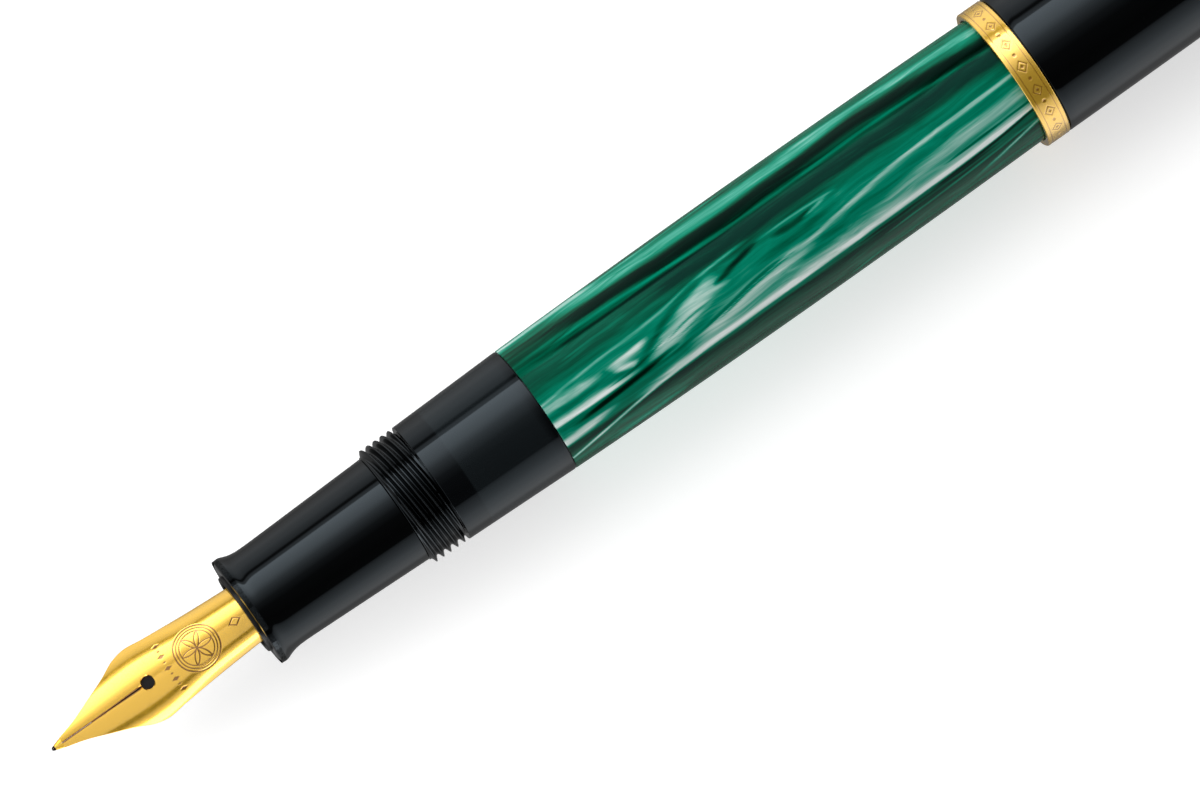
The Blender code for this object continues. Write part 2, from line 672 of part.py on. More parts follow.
def build_knob():
    """The knob turns on its stem in the housing. Its ring only slides, the spindle turns with the knob."""
    ring = trim_ring(RING_START, KNOB_RING_WIDTH, STEM_RADIUS + FIT, KNOB_RING_RADIUS)
    add_turned("knob_ring", ring, GOLD, KNOB, RING_START)
    stem_start = BARREL_END - STEM_LENGTH
    dome_base = KNOB_RADIUS - KNOB_TAPER - KNOB_DOME
    knob = [
        (SPINDLE_END + SEAM, 0),
        (SPINDLE_END + SEAM, SPINDLE_RADIUS + FIT),
        (KNOB_FLOOR, SPINDLE_RADIUS + FIT),
        (KNOB_FLOOR, STEM_BORE),
        (stem_start, STEM_BORE),
        (stem_start, STEM_RADIUS),
        (KNOB_START, STEM_RADIUS),
        (KNOB_START, KNOB_RADIUS),
        *arc((KNOB_END - KNOB_DOME, dome_base), (KNOB_DOME, KNOB_DOME), 90, 0, 6),
        (KNOB_END, 0),
    ]
    add_turned("knob", knob, BLACK_RESIN, KNOB, RING_START)
    spindle_start = SEAL_END + SEAM + 2 * ROD_WALL
    spindle = [
        (spindle_start, 0),
        (spindle_start, SPINDLE_RADIUS),
        (SPINDLE_END, SPINDLE_RADIUS),
        (SPINDLE_END, 0),
    ]
    add_turned("spindle", spindle, STEEL, KNOB, RING_START, SMALL_STEPS)


# Cap
def build_cap_tube():
    """Open at the lip, where the band goes round it, with a thread inside and a pierced wall at the crown."""
    lip = CAP_LIP + BAND_FLANGE + SEAM
    band_end = CAP_LIP + BAND_WIDTH + SEAM
    floor = CAP_TUBE_END - CAP_FLOOR
    thread = thread_outline(CAP_THREAD_START, CAP_THREAD_CRESTS, CAP_THREAD_ROOT, CAP_THREAD_CREST)
    outline = [
        (lip, CAP_BORE),
        (lip, BAND_BORE - FIT),
        (band_end, BAND_BORE - FIT),
        *[(x, cap_radius(x)) for x in np.linspace(band_end, CAP_TUBE_END, 7)],
        (CAP_TUBE_END, STEM_HOLE_RADIUS),
        (floor, STEM_HOLE_RADIUS),
        (floor, CAP_REAR_BORE),
        (CAP_THREAD_END, CAP_REAR_BORE),
        *reversed(thread),
        (CAP_THREAD_START, CAP_BORE),
    ]
    add_turned("cap_tube", outline, BLACK_RESIN, CAP, CAP_LIP)


def build_cap_band():
    """An angle ring: its flange covers the lip of the tube."""
    flange_end = CAP_LIP + BAND_FLANGE
    _, *ring = trim_ring(CAP_LIP, BAND_WIDTH, BAND_BORE, BAND_RADIUS)
    flange = [(flange_end, BAND_BORE), (flange_end, CAP_BORE), (CAP_LIP, CAP_BORE)]
    add_turned("cap_band", flange + ring, GOLD, CAP, CAP_LIP)


def build_inner_cap():
    """A cup with a step inside that the lip of the grip section seals on when the pen is closed."""
    end = NUT_START - SEAM
    floor = end - INNER_CAP_FLOOR
    seat_bore = INNER_CAP_BORE - SEAT_STEP
    outline = [
        (floor, 0),
        (floor, seat_bore),
        (SEAT, seat_bore),
        (SEAT, INNER_CAP_BORE),
        (INNER_CAP_START, INNER_CAP_BORE),
        (INNER_CAP_START, INNER_CAP_RADIUS),
        (end, INNER_CAP_RADIUS),
        (end, 0),
    ]
    add_turned("inner_cap", outline, POLYMER, CAP, CAP_LIP, HIDDEN_STEPS)


def build_crown():
    """The crown's stem passes through the clip ring and the tube's end, and the nut holds it from inside."""
    hex_radius = NUT_ACROSS_FLATS / 2 / math.cos(math.pi / 6)
    block = [(NUT_START + along, radius) for along, radius in cylinder_outline(NUT_THICKNESS, hex_radius)]
    nut = add_turned("crown_nut", block, BRASS, CAP, CAP_LIP, 6)
    bore = turned_mesh("nut_bore", cylinder_outline(3 * NUT_THICKNESS, STEM_HOLE_RADIUS), SMALL_STEPS)
    cut(nut, add_cutter("nut_bore", bore, CAP, NUT_START - NUT_THICKNESS - CAP_LIP, ALONG_X))

    ring = trim_ring(CLIP_RING_START, CLIP_RING_WIDTH, STEM_HOLE_RADIUS, CLIP_RING_RADIUS)
    add_turned("clip_ring", ring, GOLD, CAP, CAP_LIP)

    socket_floor = POSTED_LENGTH - DISC_THICKNESS - SEAM
    rim = POSTED_LENGTH - DISC_PROUD
    rim_radius = DISC_SOCKET_RADIUS + CROWN_RIM
    crown = [
        (NUT_START, 0),
        (NUT_START, CROWN_STEM_RADIUS),
        (CROWN_START, CROWN_STEM_RADIUS),
        (CROWN_START, CROWN_RADIUS),
        *arc((rim - CROWN_SHOULDER, rim_radius), (CROWN_SHOULDER, CROWN_RADIUS - rim_radius), 90, 0, 7),
        (rim, DISC_SOCKET_RADIUS),
        (socket_floor, DISC_SOCKET_RADIUS),
        (socket_floor, 0),
    ]
    add_turned("crown", crown, BLACK_RESIN, CAP, CAP_LIP)

    disc = [
        (POSTED_LENGTH - DISC_THICKNESS, 0),
        (POSTED_LENGTH - DISC_THICKNESS, DISC_RADIUS),
        (POSTED_LENGTH - EDGE, DISC_RADIUS),
        (POSTED_LENGTH, DISC_RADIUS - EDGE),
        (POSTED_LENGTH, 0),
    ]
    add_turned("crown_disc", disc, GOLD, CAP, CAP_LIP)


# Clip
def clip_sections():
    """(station, distance of the underside from the axis, thickness, half width) from root to tip."""
    arm_start = CLIP_ROOT - CLIP_SHOULDER
    foot = CLIP_ROOT - CLIP_LENGTH + CLIP_FOOT_LENGTH / 2
    root = CLIP_RING_RADIUS + FIT
    sections = [
        (CLIP_ROOT + CLIP_RING_WIDTH / 2, root, CLIP_THICKNESS, CLIP_ROOT_HALF_WIDTH),
        (CLIP_ROOT - CLIP_RING_WIDTH / 2, root, 1.3 * CLIP_THICKNESS, CLIP_ROOT_HALF_WIDTH),
    ]
    for u in np.linspace(0.0, 1.0, 9):
        station = arm_start + (foot - arm_start) * u
        gap = CLIP_RISE + (CLIP_FOOT_GAP - CLIP_RISE) * u**2
        width = CLIP_ROOT_HALF_WIDTH + (CLIP_TIP_HALF_WIDTH - CLIP_ROOT_HALF_WIDTH) * u
        sections.append((station, cap_radius(station) + gap, CLIP_THICKNESS, width))
    for u in (0.35, 0.65, 0.85, 1.0):
        station = foot - CLIP_FOOT_LENGTH / 2 * u
        swell = math.sqrt(max(1 - u**2, 0.1))
        underside = cap_radius(station) + CLIP_FOOT_GAP + CLIP_TIP_LIFT * u**2
        thickness = (CLIP_THICKNESS + 4 * CLIP_BULB * u * (1 - u)) * swell
        sections.append((station, underside, thickness, CLIP_TIP_HALF_WIDTH * swell))
    return sections


def clip_outline(underside, thickness, half_width):
    """A flat underside and a crowned back, as (y, distance from the axis)."""
    angles = np.linspace(0, math.pi, 9)
    back = [(half_width * math.cos(a), underside + thickness * (0.45 + 0.55 * math.sin(a))) for a in angles]
    return [(-half_width, underside), (half_width, underside), *back]


def resting_turn(sections):
    """How far the clip points down from level, where its lowest point lies level with that of the band."""
    points = [point for _, *section in sections for point in clip_outline(*section)]
    low, high = 0.0, math.pi / 2
    for _ in range(40):
        turn = (low + high) / 2
        reach = max(height * math.sin(turn) + abs(y) * math.cos(turn) for y, height in points)
        low, high = (turn, high) if reach < BAND_RADIUS else (low, turn)
    return low


def build_clip():
    """The clip flexes at its root, where its origin is. Its back points along local Z."""
    sections = clip_sections()
    turn = add_empty("clip_side", CAP, 0.0, (-math.pi / 2 - resting_turn(sections), 0.0, 0.0))
    root = add_empty("clip_root", turn, CLIP_ROOT - CAP_LIP, height=CLIP_PIVOT_HEIGHT)
    rings = [
        [(station - CLIP_ROOT, y, height - CLIP_PIVOT_HEIGHT) for y, height in clip_outline(*section)]
        for station, *section in sections
    ]
    add_piece("clip", loft_mesh("clip", rings), GOLD, root, 0.0)


clear_scene()
PEN = add_collection("fountain_pen")
CUTTERS = add_collection("fountain_pen_cutters", hidden=True)

GOLD = finish("gold_plate", "#f3cf63", 0.18, metallic=1.0)
ALLOY = finish("hard_alloy", "#b9b4a6", 0.25, metallic=1.0)
STEEL = finish("steel", "#c4c5c6", 0.3, metallic=1.0)
BRASS = finish("brass", "#c9a85a", 0.35, metallic=1.0)
BLACK_RESIN = finish("black_resin", "#08090b", 0.08)
SMOKED_RESIN = finish("smoked_resin", "#1c211f", 0.08, transmission=0.5)
MARBLED_RESIN = finish("marbled_resin", "#0a6b50", 0.08)
EBONITE = finish("black_ebonite", "#101012", 0.35)
POLYMER = finish("grey_polymer", "#8d9092", 0.45)
RUBBER = finish("black_rubber", "#1b1b1c", 0.6)

AXIS = add_empty("pen_axis", None, -POSTED_LENGTH / 2, height=BAND_RADIUS)
PISTON = add_empty("piston_axis", AXIS, PISTON_START)
KNOB = add_empty("knob_axis", AXIS, RING_START)
CAP = add_empty("cap_axis", AXIS, CAP_LIP)

build_nib()
build_tipping()
build_feed()
build_collar()
build_grip()
build_reservoir()
build_barrel()
build_housing()
build_piston()
build_knob()
build_cap_tube()
build_cap_band()
build_inner_cap()
build_crown()
build_clip()
bpy.context.view_layer.update()
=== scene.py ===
"""A piston-filling fountain pen with its cap on its tail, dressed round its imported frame.

Shapes are worked out in millimetres in the pen's own frame. The station counts along the axis from the tip of
the nib, y and z are measured from the axis, and the side angle turns about the axis from the top towards -y.
"""

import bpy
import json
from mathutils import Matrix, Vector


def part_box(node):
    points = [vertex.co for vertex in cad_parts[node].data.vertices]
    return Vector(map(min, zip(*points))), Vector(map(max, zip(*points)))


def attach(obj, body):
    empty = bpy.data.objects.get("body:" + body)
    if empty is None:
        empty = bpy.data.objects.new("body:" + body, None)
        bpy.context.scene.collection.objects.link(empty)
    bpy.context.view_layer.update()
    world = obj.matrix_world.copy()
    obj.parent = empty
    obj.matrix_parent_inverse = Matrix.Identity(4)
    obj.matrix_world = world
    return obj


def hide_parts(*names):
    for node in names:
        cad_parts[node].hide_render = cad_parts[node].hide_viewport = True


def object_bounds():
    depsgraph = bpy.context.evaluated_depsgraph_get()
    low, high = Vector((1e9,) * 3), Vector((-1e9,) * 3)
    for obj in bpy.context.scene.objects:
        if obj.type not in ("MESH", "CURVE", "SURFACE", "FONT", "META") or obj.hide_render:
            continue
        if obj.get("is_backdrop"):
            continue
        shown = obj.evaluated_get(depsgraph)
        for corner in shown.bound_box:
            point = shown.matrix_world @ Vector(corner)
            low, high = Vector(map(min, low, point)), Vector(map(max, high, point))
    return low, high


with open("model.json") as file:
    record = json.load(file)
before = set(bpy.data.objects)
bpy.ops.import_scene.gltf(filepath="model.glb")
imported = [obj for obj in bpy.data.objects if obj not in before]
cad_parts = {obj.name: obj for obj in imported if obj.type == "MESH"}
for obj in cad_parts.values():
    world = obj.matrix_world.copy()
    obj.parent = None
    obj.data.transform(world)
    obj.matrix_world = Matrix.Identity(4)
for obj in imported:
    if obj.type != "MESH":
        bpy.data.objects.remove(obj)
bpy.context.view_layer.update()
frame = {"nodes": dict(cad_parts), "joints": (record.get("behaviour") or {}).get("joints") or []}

import json
import logging
import math
from dataclasses import dataclass, field
from enum import Enum
from typing import Optional, Sequence

import bmesh
import bpy
import numpy as np
from mathutils import Matrix, Vector

Tree = bpy.types.NodeTree
Socket = bpy.types.NodeSocket
Colour = tuple[float, float, float, float]
Numbers = float | np.ndarray

LOG = logging.getLogger("pen")
MM = 0.001
MERGE_DISTANCE = 2e-7
SHARP_ANGLE = math.radians(38)
THREAD_SHARP = math.radians(75)
COAT_ROUGHNESS = 0.06


class Body(str, Enum):
    """The moving bodies of the frame."""

    BARREL = "barrel"
    PISTON = "piston"
    KNOB_RING = "knob_thread"
    KNOB = "knob"
    CAP = "cap"
    CAP_LINER = "cap_liner"
    CLIP = "clip"


class Slot(str, Enum):
    """The material slots of the record."""

    GOLD = "gold_plate"
    ALLOY = "hard_alloy"
    STEEL = "steel"
    BRASS = "plain_brass"
    BLACK = "black_resin"
    SMOKED = "smoked_resin"
    MARBLED = "marbled_resin"
    EBONITE = "black_ebonite"
    POLYMER = "grey_polymer"
    RUBBER = "black_rubber"


# ---------------------------------------------------------------- colour and shader helpers
def linear_colour(code: str) -> Colour:
    """Turns an sRGB hex colour to linear light.

    Args:
        code: the colour, such as "#08090b".

    Returns:
        Red, green, blue and a full alpha.
    """
    channels = [int(code[i : i + 2], 16) / 255 for i in (1, 3, 5)]
    lit = [c / 12.92 if c <= 0.04045 else ((c + 0.055) / 1.055) ** 2.4 for c in channels]
    return (lit[0], lit[1], lit[2], 1.0)


def set_inputs(tree: Tree, node: bpy.types.Node, inputs: dict) -> None:
    """Sets or links the inputs of a node.

    Args:
        tree: the tree that the node is in.
        node: the node.
        inputs: input names or numbers, each with a value or with the output socket that feeds it.
    """
    for name, value in inputs.items():
        if isinstance(value, Socket):
            tree.links.new(value, node.inputs[name])
        else:
            node.inputs[name].default_value = value


def add_node(
    tree: Tree,
    kind: str,
    settings: Optional[dict] = None,
    inputs: Optional[dict] = None,
) -> bpy.types.Node:
    """Adds a node, sets its properties, and sets or links its inputs.

    Args:
        tree: the tree that the node goes in.
        kind: the node's type name.
        settings: property names and their values. A colour ramp takes "stops": (place, linear colour) pairs.
        inputs: what set_inputs takes.

    Returns:
        The new node.
    """
    node = tree.nodes.new(kind)
    for name, value in (settings or {}).items():
        if name != "stops":
            setattr(node, name, value)
            continue
        elements = node.color_ramp.elements
        while len(elements) < len(value):
            elements.new(0.5)
        for element, (place, colour) in zip(elements, value):
            element.position, element.color = place, colour
    set_inputs(tree, node, inputs or {})
    return node


def grey(level: float) -> Colour:
    """A linear grey of this level."""
    return (level, level, level, 1.0)


@dataclass(frozen=True)
class Finish:
    """What a surface is made of: a base colour, a gloss and a fine relief.

    The relief and the gloss read noise on Object coordinates, stretched along x by the grain's length.
    """

    name: str
    slot: Slot
    colour: str
    roughness: float
    metallic: float = 0.0
    ior: float = 1.5
    specular: float = 0.5
    specular_tint: str = "#ffffff"
    coat: float = 0.0
    coat_ior: float = 1.5
    tone_spread: float = 0.0  # how far the colour wanders, as a share
    gloss_spread: float = 0.03
    grain_mm: tuple[float, float] = (1.0, 1.0)  # along the pen and across it
    relief_mm: float = 0.0

    def grain(self, tree: Tree) -> Socket:
        """Noise with the grain's size, about 0.5.

        Args:
            tree: the material's node tree.

        Returns:
            The noise.
        """
        place = add_node(tree, "ShaderNodeTexCoord").outputs["Object"]
        along, across = (1 / (MM * size) for size in self.grain_mm)
        scaled = add_node(tree, "ShaderNodeMapping", inputs={
            "Vector": place, "Scale": (along, across, across)})
        return add_node(tree, "ShaderNodeTexNoise", inputs={
            "Vector": scaled.outputs["Vector"], "Scale": 1.0, "Detail": 3.0, "Roughness": 0.6}).outputs["Fac"]

    def tone(self, tree: Tree, grain: Socket) -> Optional[tuple[Socket, list]]:
        """The level that the colour follows, and the ramp of colours that it picks from.

        Args:
            tree: the material's node tree.
            grain: the grain's noise.

        Returns:
            The level and its (place, linear colour) stops, or None where the colour is even.
        """
        if not self.tone_spread:
            return None
        r, g, b, _ = linear_colour(self.colour)
        dark, light = ((r * k, g * k, b * k, 1) for k in (1 - self.tone_spread, 1 + self.tone_spread))
        return grain, [(0.3, dark), (0.7, light)]

    def build(self) -> bpy.types.Material:
        """Makes the material, once for each finish.

        Returns:
            The material, with one Principled shader.
        """
        found = bpy.data.materials.get(self.name)
        if found:
            return found
        material = bpy.data.materials.new(self.name)
        material.use_nodes = True
        tree = material.node_tree
        shader = tree.nodes["Principled BSDF"]
        colour = linear_colour(self.colour)
        material.diffuse_color = colour
        grain = self.grain(tree)
        looks = {
            "Base Color": colour, "Metallic": self.metallic, "IOR": self.ior, "Roughness": self.roughness,
            "Specular IOR Level": self.specular, "Specular Tint": linear_colour(self.specular_tint),
            "Coat Weight": self.coat, "Coat IOR": self.coat_ior, "Coat Roughness": COAT_ROUGHNESS,
        }
        tone = self.tone(tree, grain)
        if tone:
            ramp = add_node(tree, "ShaderNodeValToRGB", {"stops": tone[1]}, {"Fac": tone[0]})
            looks["Base Color"] = ramp.outputs["Color"]
        if self.gloss_spread:
            low, high = self.roughness - self.gloss_spread, self.roughness + self.gloss_spread
            gloss = add_node(tree, "ShaderNodeMapRange", inputs={
                "Value": grain, "From Min": 0.3, "From Max": 0.7, "To Min": max(low, 0.01), "To Max": high})
            looks["Roughness"] = gloss.outputs["Result"]
        if self.relief_mm:
            bump = add_node(tree, "ShaderNodeBump", inputs={
                "Height": grain, "Distance": self.relief_mm * MM, "Strength": 1.0})
            looks["Normal"] = bump.outputs["Normal"]
        set_inputs(tree, shader, looks)
        return material


@dataclass(frozen=True)
class MarkedGold(Finish):
    """Gold that changes colour where an attribute of the piece marks it, as in an engraved line, whose brown
    is painted shade.
    """

    mark: str = "engraved"
    marked: str = "#9a6410"
    onset: float = 0.05

    def tone(self, tree: Tree, grain: Socket) -> tuple[Socket, list]:
        """Its own colour where the mark is 0, the marked colour where it is strong."""
        level = add_node(tree, "ShaderNodeAttribute", {"attribute_name": self.mark}).outputs["Fac"]
        return level, [(self.onset, linear_colour(self.colour)), (0.8, linear_colour(self.marked))]


@dataclass(frozen=True)
class PearlMarble(Finish):
    """Cellulose acetate with pearl: silvery sheets and dark folds that run along the barrel.

    The attribute "pearl" lays out the folds, and drawn-out noise adds the fibres inside them.
    """

    fibre_spread: float = 0.12
    tones: tuple = (
        (0.0, "#000b05"), (0.12, "#001c11"), (0.28, "#00432e"), (0.45, "#00694f"), (0.58, "#048267"),
        (0.70, "#469f8a"), (0.82, "#93c2b5"), (0.92, "#cbe1d9"), (1.0, "#f0f8f5"),
    )

    def tone(self, tree: Tree, grain: Socket) -> tuple[Socket, list]:
        """From near black through bottle green and teal to silver, the folds' level plus the fibres'.

        Args:
            tree: the material's node tree.
            grain: the grain's noise.

        Returns:
            The level and its (place, linear colour) stops.
        """
        pearl = add_node(tree, "ShaderNodeAttribute", {"attribute_name": "pearl"}).outputs["Fac"]
        place = add_node(tree, "ShaderNodeTexCoord").outputs["Object"]
        # Fibres about 0.4 mm wide and 9 mm long, leaning a little by a slow wander.
        wander = add_node(tree, "ShaderNodeTexNoise", inputs={"Vector": place, "Scale": 120.0, "Detail": 1.0})
        bent = add_node(tree, "ShaderNodeVectorMath", {"operation": "MULTIPLY_ADD"},
                        {0: wander.outputs["Color"], 1: (0.0, 0.0016, 0.0016), 2: place})
        drawn = add_node(tree, "ShaderNodeMapping",
                         inputs={"Vector": bent.outputs["Vector"], "Scale": (110.0, 2300.0, 2300.0)})
        fibres = add_node(tree, "ShaderNodeTexNoise", inputs={
            "Vector": drawn.outputs["Vector"], "Scale": 1.0, "Detail": 4.0, "Roughness": 0.55})
        spread = add_node(tree, "ShaderNodeMapRange", inputs={
            "Value": fibres.outputs["Fac"], "From Min": 0.25, "From Max": 0.75,
            "To Min": -self.fibre_spread, "To Max": self.fibre_spread})
        level = add_node(tree, "ShaderNodeMath", {"operation": "ADD", "use_clamp": True},
                         {0: pearl, 1: spread.outputs["Result"]})
        return level.outputs["Value"], [(stop, linear_colour(code)) for stop, code in self.tones]


# Gold plate over brass, lacquered: soft light from the plate's fine grain, sharp lights from the lacquer.
POLISHED_GOLD = Finish("polished_gold_plate", Slot.GOLD, "#ffcb46", 0.3, metallic=0.36, coat=1.0,
                       coat_ior=1.85, grain_mm=(0.5, 0.5), relief_mm=0.0003)
# The same plate where it is engraved: bright faces, and brown painted shade in the engraved lines.
ENGRAVED_GOLD = MarkedGold("engraved_gold_plate", Slot.GOLD, "#ffcb40", 0.16, metallic=0.6, coat=1.0,
                           coat_ior=1.9, grain_mm=(0.5, 0.5), relief_mm=0.0003, marked="#c08a24")
# The nib's gold is burnished, so its lights have harder edges than the band's.
# Its marked brown is painted shade in the engraved lines and along the slit.
NIB_GOLD = MarkedGold("burnished_nib_gold", Slot.GOLD, "#ffc93c", 0.2, metallic=0.8, coat=1.0, coat_ior=1.7,
                      grain_mm=(0.5, 0.5), relief_mm=0.0003)
# Ground and polished writing point: a dark hard ball welded in a neck that took the nib's gold.
POINT_ALLOY = MarkedGold("ground_point_alloy", Slot.ALLOY, "#f0bf48", 0.3, metallic=0.8, grain_mm=(0.2, 0.05),
                         relief_mm=0.0004, mark="ball", marked="#1c120a", onset=0.1)
# Turned and buffed black acetate: a deep black with a wet shine and the faintest waves from the buff.
BLACK_RESIN = Finish("buffed_black_acetate", Slot.BLACK, "#020202", 0.06, specular=0.34,
                     specular_tint="#dff2ff", grain_mm=(6.0, 2.0), gloss_spread=0.02, relief_mm=0.0006)
EBONITE = Finish("satin_black_ebonite", Slot.EBONITE, "#050506", 0.3, specular=0.3, grain_mm=(0.08, 2.0),
                 gloss_spread=0.06, relief_mm=0.002)
# Turned from a block of folded sheets: the pearl lies under a polished, faintly waved surface.
MARBLED = PearlMarble("pearl_marbled_acetate", Slot.MARBLED, "#0a6b50", 0.07, ior=1.49, specular=0.15,
                      specular_tint="#6ee6d2", grain_mm=(6.0, 2.0), gloss_spread=0.02, relief_mm=0.0006)
TURNED_STEEL = Finish("turned_steel", Slot.STEEL, "#c4c5c6", 0.25, metallic=1.0, grain_mm=(0.1, 3.0),
                      tone_spread=0.1, relief_mm=0.003)
TURNED_BRASS = Finish("turned_brass", Slot.BRASS, "#c9a85a", 0.3, metallic=1.0, grain_mm=(0.1, 3.0),
                      tone_spread=0.12, relief_mm=0.003)
# Moulded polyamide: an even grey with a dull, slightly mottled skin.
POLYMER = Finish("moulded_polyamide", Slot.POLYMER, "#3a3c3e", 0.45, grain_mm=(0.4, 0.4), tone_spread=0.06,
                 gloss_spread=0.06, relief_mm=0.004)
RUBBER = Finish("moulded_rubber", Slot.RUBBER, "#161617", 0.6, grain_mm=(0.3, 0.3), tone_spread=0.15,
                gloss_spread=0.08, relief_mm=0.006)


@dataclass(frozen=True)
class SmokedResin(Finish):
    """Clear resin dyed to a smoke: lighter where only ink air lies behind it than over the black spigot."""

    backed: str = "#050607"
    spigot_end_m: float = 0.0
    sleeve_m: float = 0.0

    def tone(self, tree: Tree, grain: Socket) -> tuple[Socket, list]:
        """Dark over the spigot and beside the sleeve, a blue-grey smoke between them.

        Args:
            tree: the material's node tree.
            grain: the grain's noise.

        Returns:
            The level and its (place, linear colour) stops.
        """
        place = add_node(tree, "ShaderNodeTexCoord").outputs["Object"]
        x = add_node(tree, "ShaderNodeSeparateXYZ", inputs={0: place}).outputs["X"]
        reach = self.sleeve_m - self.spigot_end_m
        share = add_node(tree, "ShaderNodeMapRange", inputs={
            "Value": x, "From Min": self.spigot_end_m - reach, "From Max": self.sleeve_m + reach})
        dark, smoke = linear_colour(self.backed), linear_colour(self.colour)
        return share.outputs["Result"], [(0.331, dark), (0.336, smoke), (0.63, smoke), (0.66, dark)]


# ---------------------------------------------------------------- surfaces
@dataclass
class Surface:
    """Points in the pen's frame in millimetres, the faces between them, and named values at the points."""

    points: np.ndarray
    faces: list
    values: dict[str, np.ndarray] = field(default_factory=dict)


def grid_faces(rows: int, columns: int, wrap_rows: bool) -> np.ndarray:
    """The quads of a grid of points numbered row by row, where each row's end joins its start.

    Args:
        rows: how many rows.
        columns: how many points in a row.
        wrap_rows: whether the last row joins the first.

    Returns:
        An array of quads.
    """
    i = np.arange(rows if wrap_rows else rows - 1)[:, None]
    j = np.arange(columns)[None, :]
    i2, j2 = (i + 1) % rows, (j + 1) % columns
    quads = np.stack([i * columns + j, i * columns + j2, i2 * columns + j2, i2 * columns + j], axis=-1)
    return quads.reshape(-1, 4)


def filleted(corners: Sequence[tuple], is_loop: bool, arc_points: int = 5) -> np.ndarray:
    """An outline whose corners are rounded.

    A corner C between neighbours becomes the parabola (1-t)^2 A + 2t(1-t) C + t^2 B, whose ends A and B lie a
    fillet's length back along both sides. A point just past each end keeps smooth shading inside the arc.

    Args:
        corners: (station, radius, fillet) for each corner.
        is_loop: whether the last corner joins the first.
        arc_points: points in an arc.

    Returns:
        An array of (station, radius).
    """
    places = np.array([c[:2] for c in corners], float)
    count = len(corners)
    made = []
    for i, (_, _, fillet) in enumerate(corners):
        here = places[i]
        if fillet <= 0 or (not is_loop and i in (0, count - 1)):
            made.append(here[None])
            continue
        before, after = places[i - 1] - here, places[(i + 1) % count] - here
        reach_before, reach_after = (min(fillet, 0.45 * np.linalg.norm(v)) for v in (before, after))
        unit_before, unit_after = before / np.linalg.norm(before), after / np.linalg.norm(after)
        a, b = here + unit_before * reach_before, here + unit_after * reach_after
        t = np.linspace(0, 1, arc_points)[:, None]
        arc = (1 - t) ** 2 * a + 2 * t * (1 - t) * here + t**2 * b
        support = 0.15 * fillet
        made.append(np.vstack([a + unit_before * support, arc, b + unit_after * support]))
    return np.vstack(made)


@dataclass(frozen=True)
class Thread:
    """A screw thread of several starts, as a rise of the radius.

    The rise is ((1 - cos 2 pi phase) / 2)^1.25, with the phase (station - start) / pitch - starts * turn. It
    fades in and out over a share of a pitch at its two ends. A negative depth cuts into the surface.
    """

    start: float
    end: float
    depth: float
    pitch: float
    starts: int

    def rows(self, per_pitch: int = 20) -> np.ndarray:
        """Stations close enough together to draw each crest."""
        return np.linspace(self.start, self.end, int(per_pitch * (self.end - self.start) / self.pitch) + 1)

    def rise(self, station: np.ndarray, turn: np.ndarray) -> np.ndarray:
        """How far the surface stands over the root.

        Args:
            station: stations, in millimetres.
            turn: angles about the axis, in turns.

        Returns:
            The rise at each, in millimetres.
        """
        phase = (station - self.start) / self.pitch - self.starts * turn
        crest = ((1 - np.cos(2 * math.pi * phase)) / 2) ** 1.25
        fade = 0.45 * self.pitch
        ends = np.clip((station - self.start) / fade, 0, 1) * np.clip((self.end - station) / fade, 0, 1)
        return self.depth * crest * ends


class Outline:
    """The half section of a turned piece, drawn as a loop or from axis to axis, with threads in it."""

    def __init__(self, is_loop: bool = True) -> None:
        """Starts an empty outline."""
        self.is_loop = is_loop
        self.parts: list[tuple[np.ndarray, Optional[Thread]]] = []

    def line(self, points: np.ndarray) -> "Outline":
        """Adds plain (station, radius) points."""
        self.parts.append((np.asarray(points, float), None))
        return self

    def thread(self, thread: Thread, root: float, backwards: bool = False) -> "Outline":
        """Adds a thread over a root radius.

        Args:
            thread: the thread.
            root: the radius that it rises from.
            backwards: whether the outline runs towards the nib there.

        Returns:
            The outline.
        """
        stations = thread.rows()[:: -1 if backwards else 1]
        self.parts.append((np.column_stack([stations, np.full_like(stations, root)]), thread))
        return self

    def turned(self, steps: int = 160) -> Surface:
        """Turns the outline about the axis: each point goes round a circle of its own radius.

        Args:
            steps: points round the circle.

        Returns:
            The surface, with its station and turn at each point.
        """
        turn = (np.arange(steps) / steps)[None, :]
        stations, radii = [], []
        for points, thread in self.parts:
            station = np.repeat(points[:, :1], steps, axis=1)
            radius = np.repeat(points[:, 1:], steps, axis=1)
            if thread:
                radius = radius + thread.rise(station, turn)
            stations.append(station)
            radii.append(radius)
        station, radius = np.vstack(stations), np.vstack(radii)
        angle = 2 * math.pi * turn
        points = np.stack([station, -radius * np.sin(angle), radius * np.cos(angle)], axis=-1)
        faces = grid_faces(len(station), steps, self.is_loop)
        turns = np.repeat(turn, len(station), axis=0)
        values = {"station": station.ravel(), "turn": turns.ravel()}
        return Surface(points.reshape(-1, 3), faces.tolist(), values)


def lofted(sections: np.ndarray) -> Surface:
    """A closed skin over sections with flat ends.

    Args:
        sections: points as (section, point, xyz).

    Returns:
        The surface.
    """
    rows, columns, _ = sections.shape
    faces = grid_faces(rows, columns, False).tolist()
    faces.append(list(range(columns)))
    faces.append(list(range((rows - 1) * columns, rows * columns))[::-1])
    return Surface(sections.reshape(-1, 3), faces)


def stroke(distance: np.ndarray, half: float) -> np.ndarray:
    """An engraved line of this half width along distance 0: 1 - (d / w)^2."""
    return np.clip(1 - (distance / half) ** 2, 0, 1)


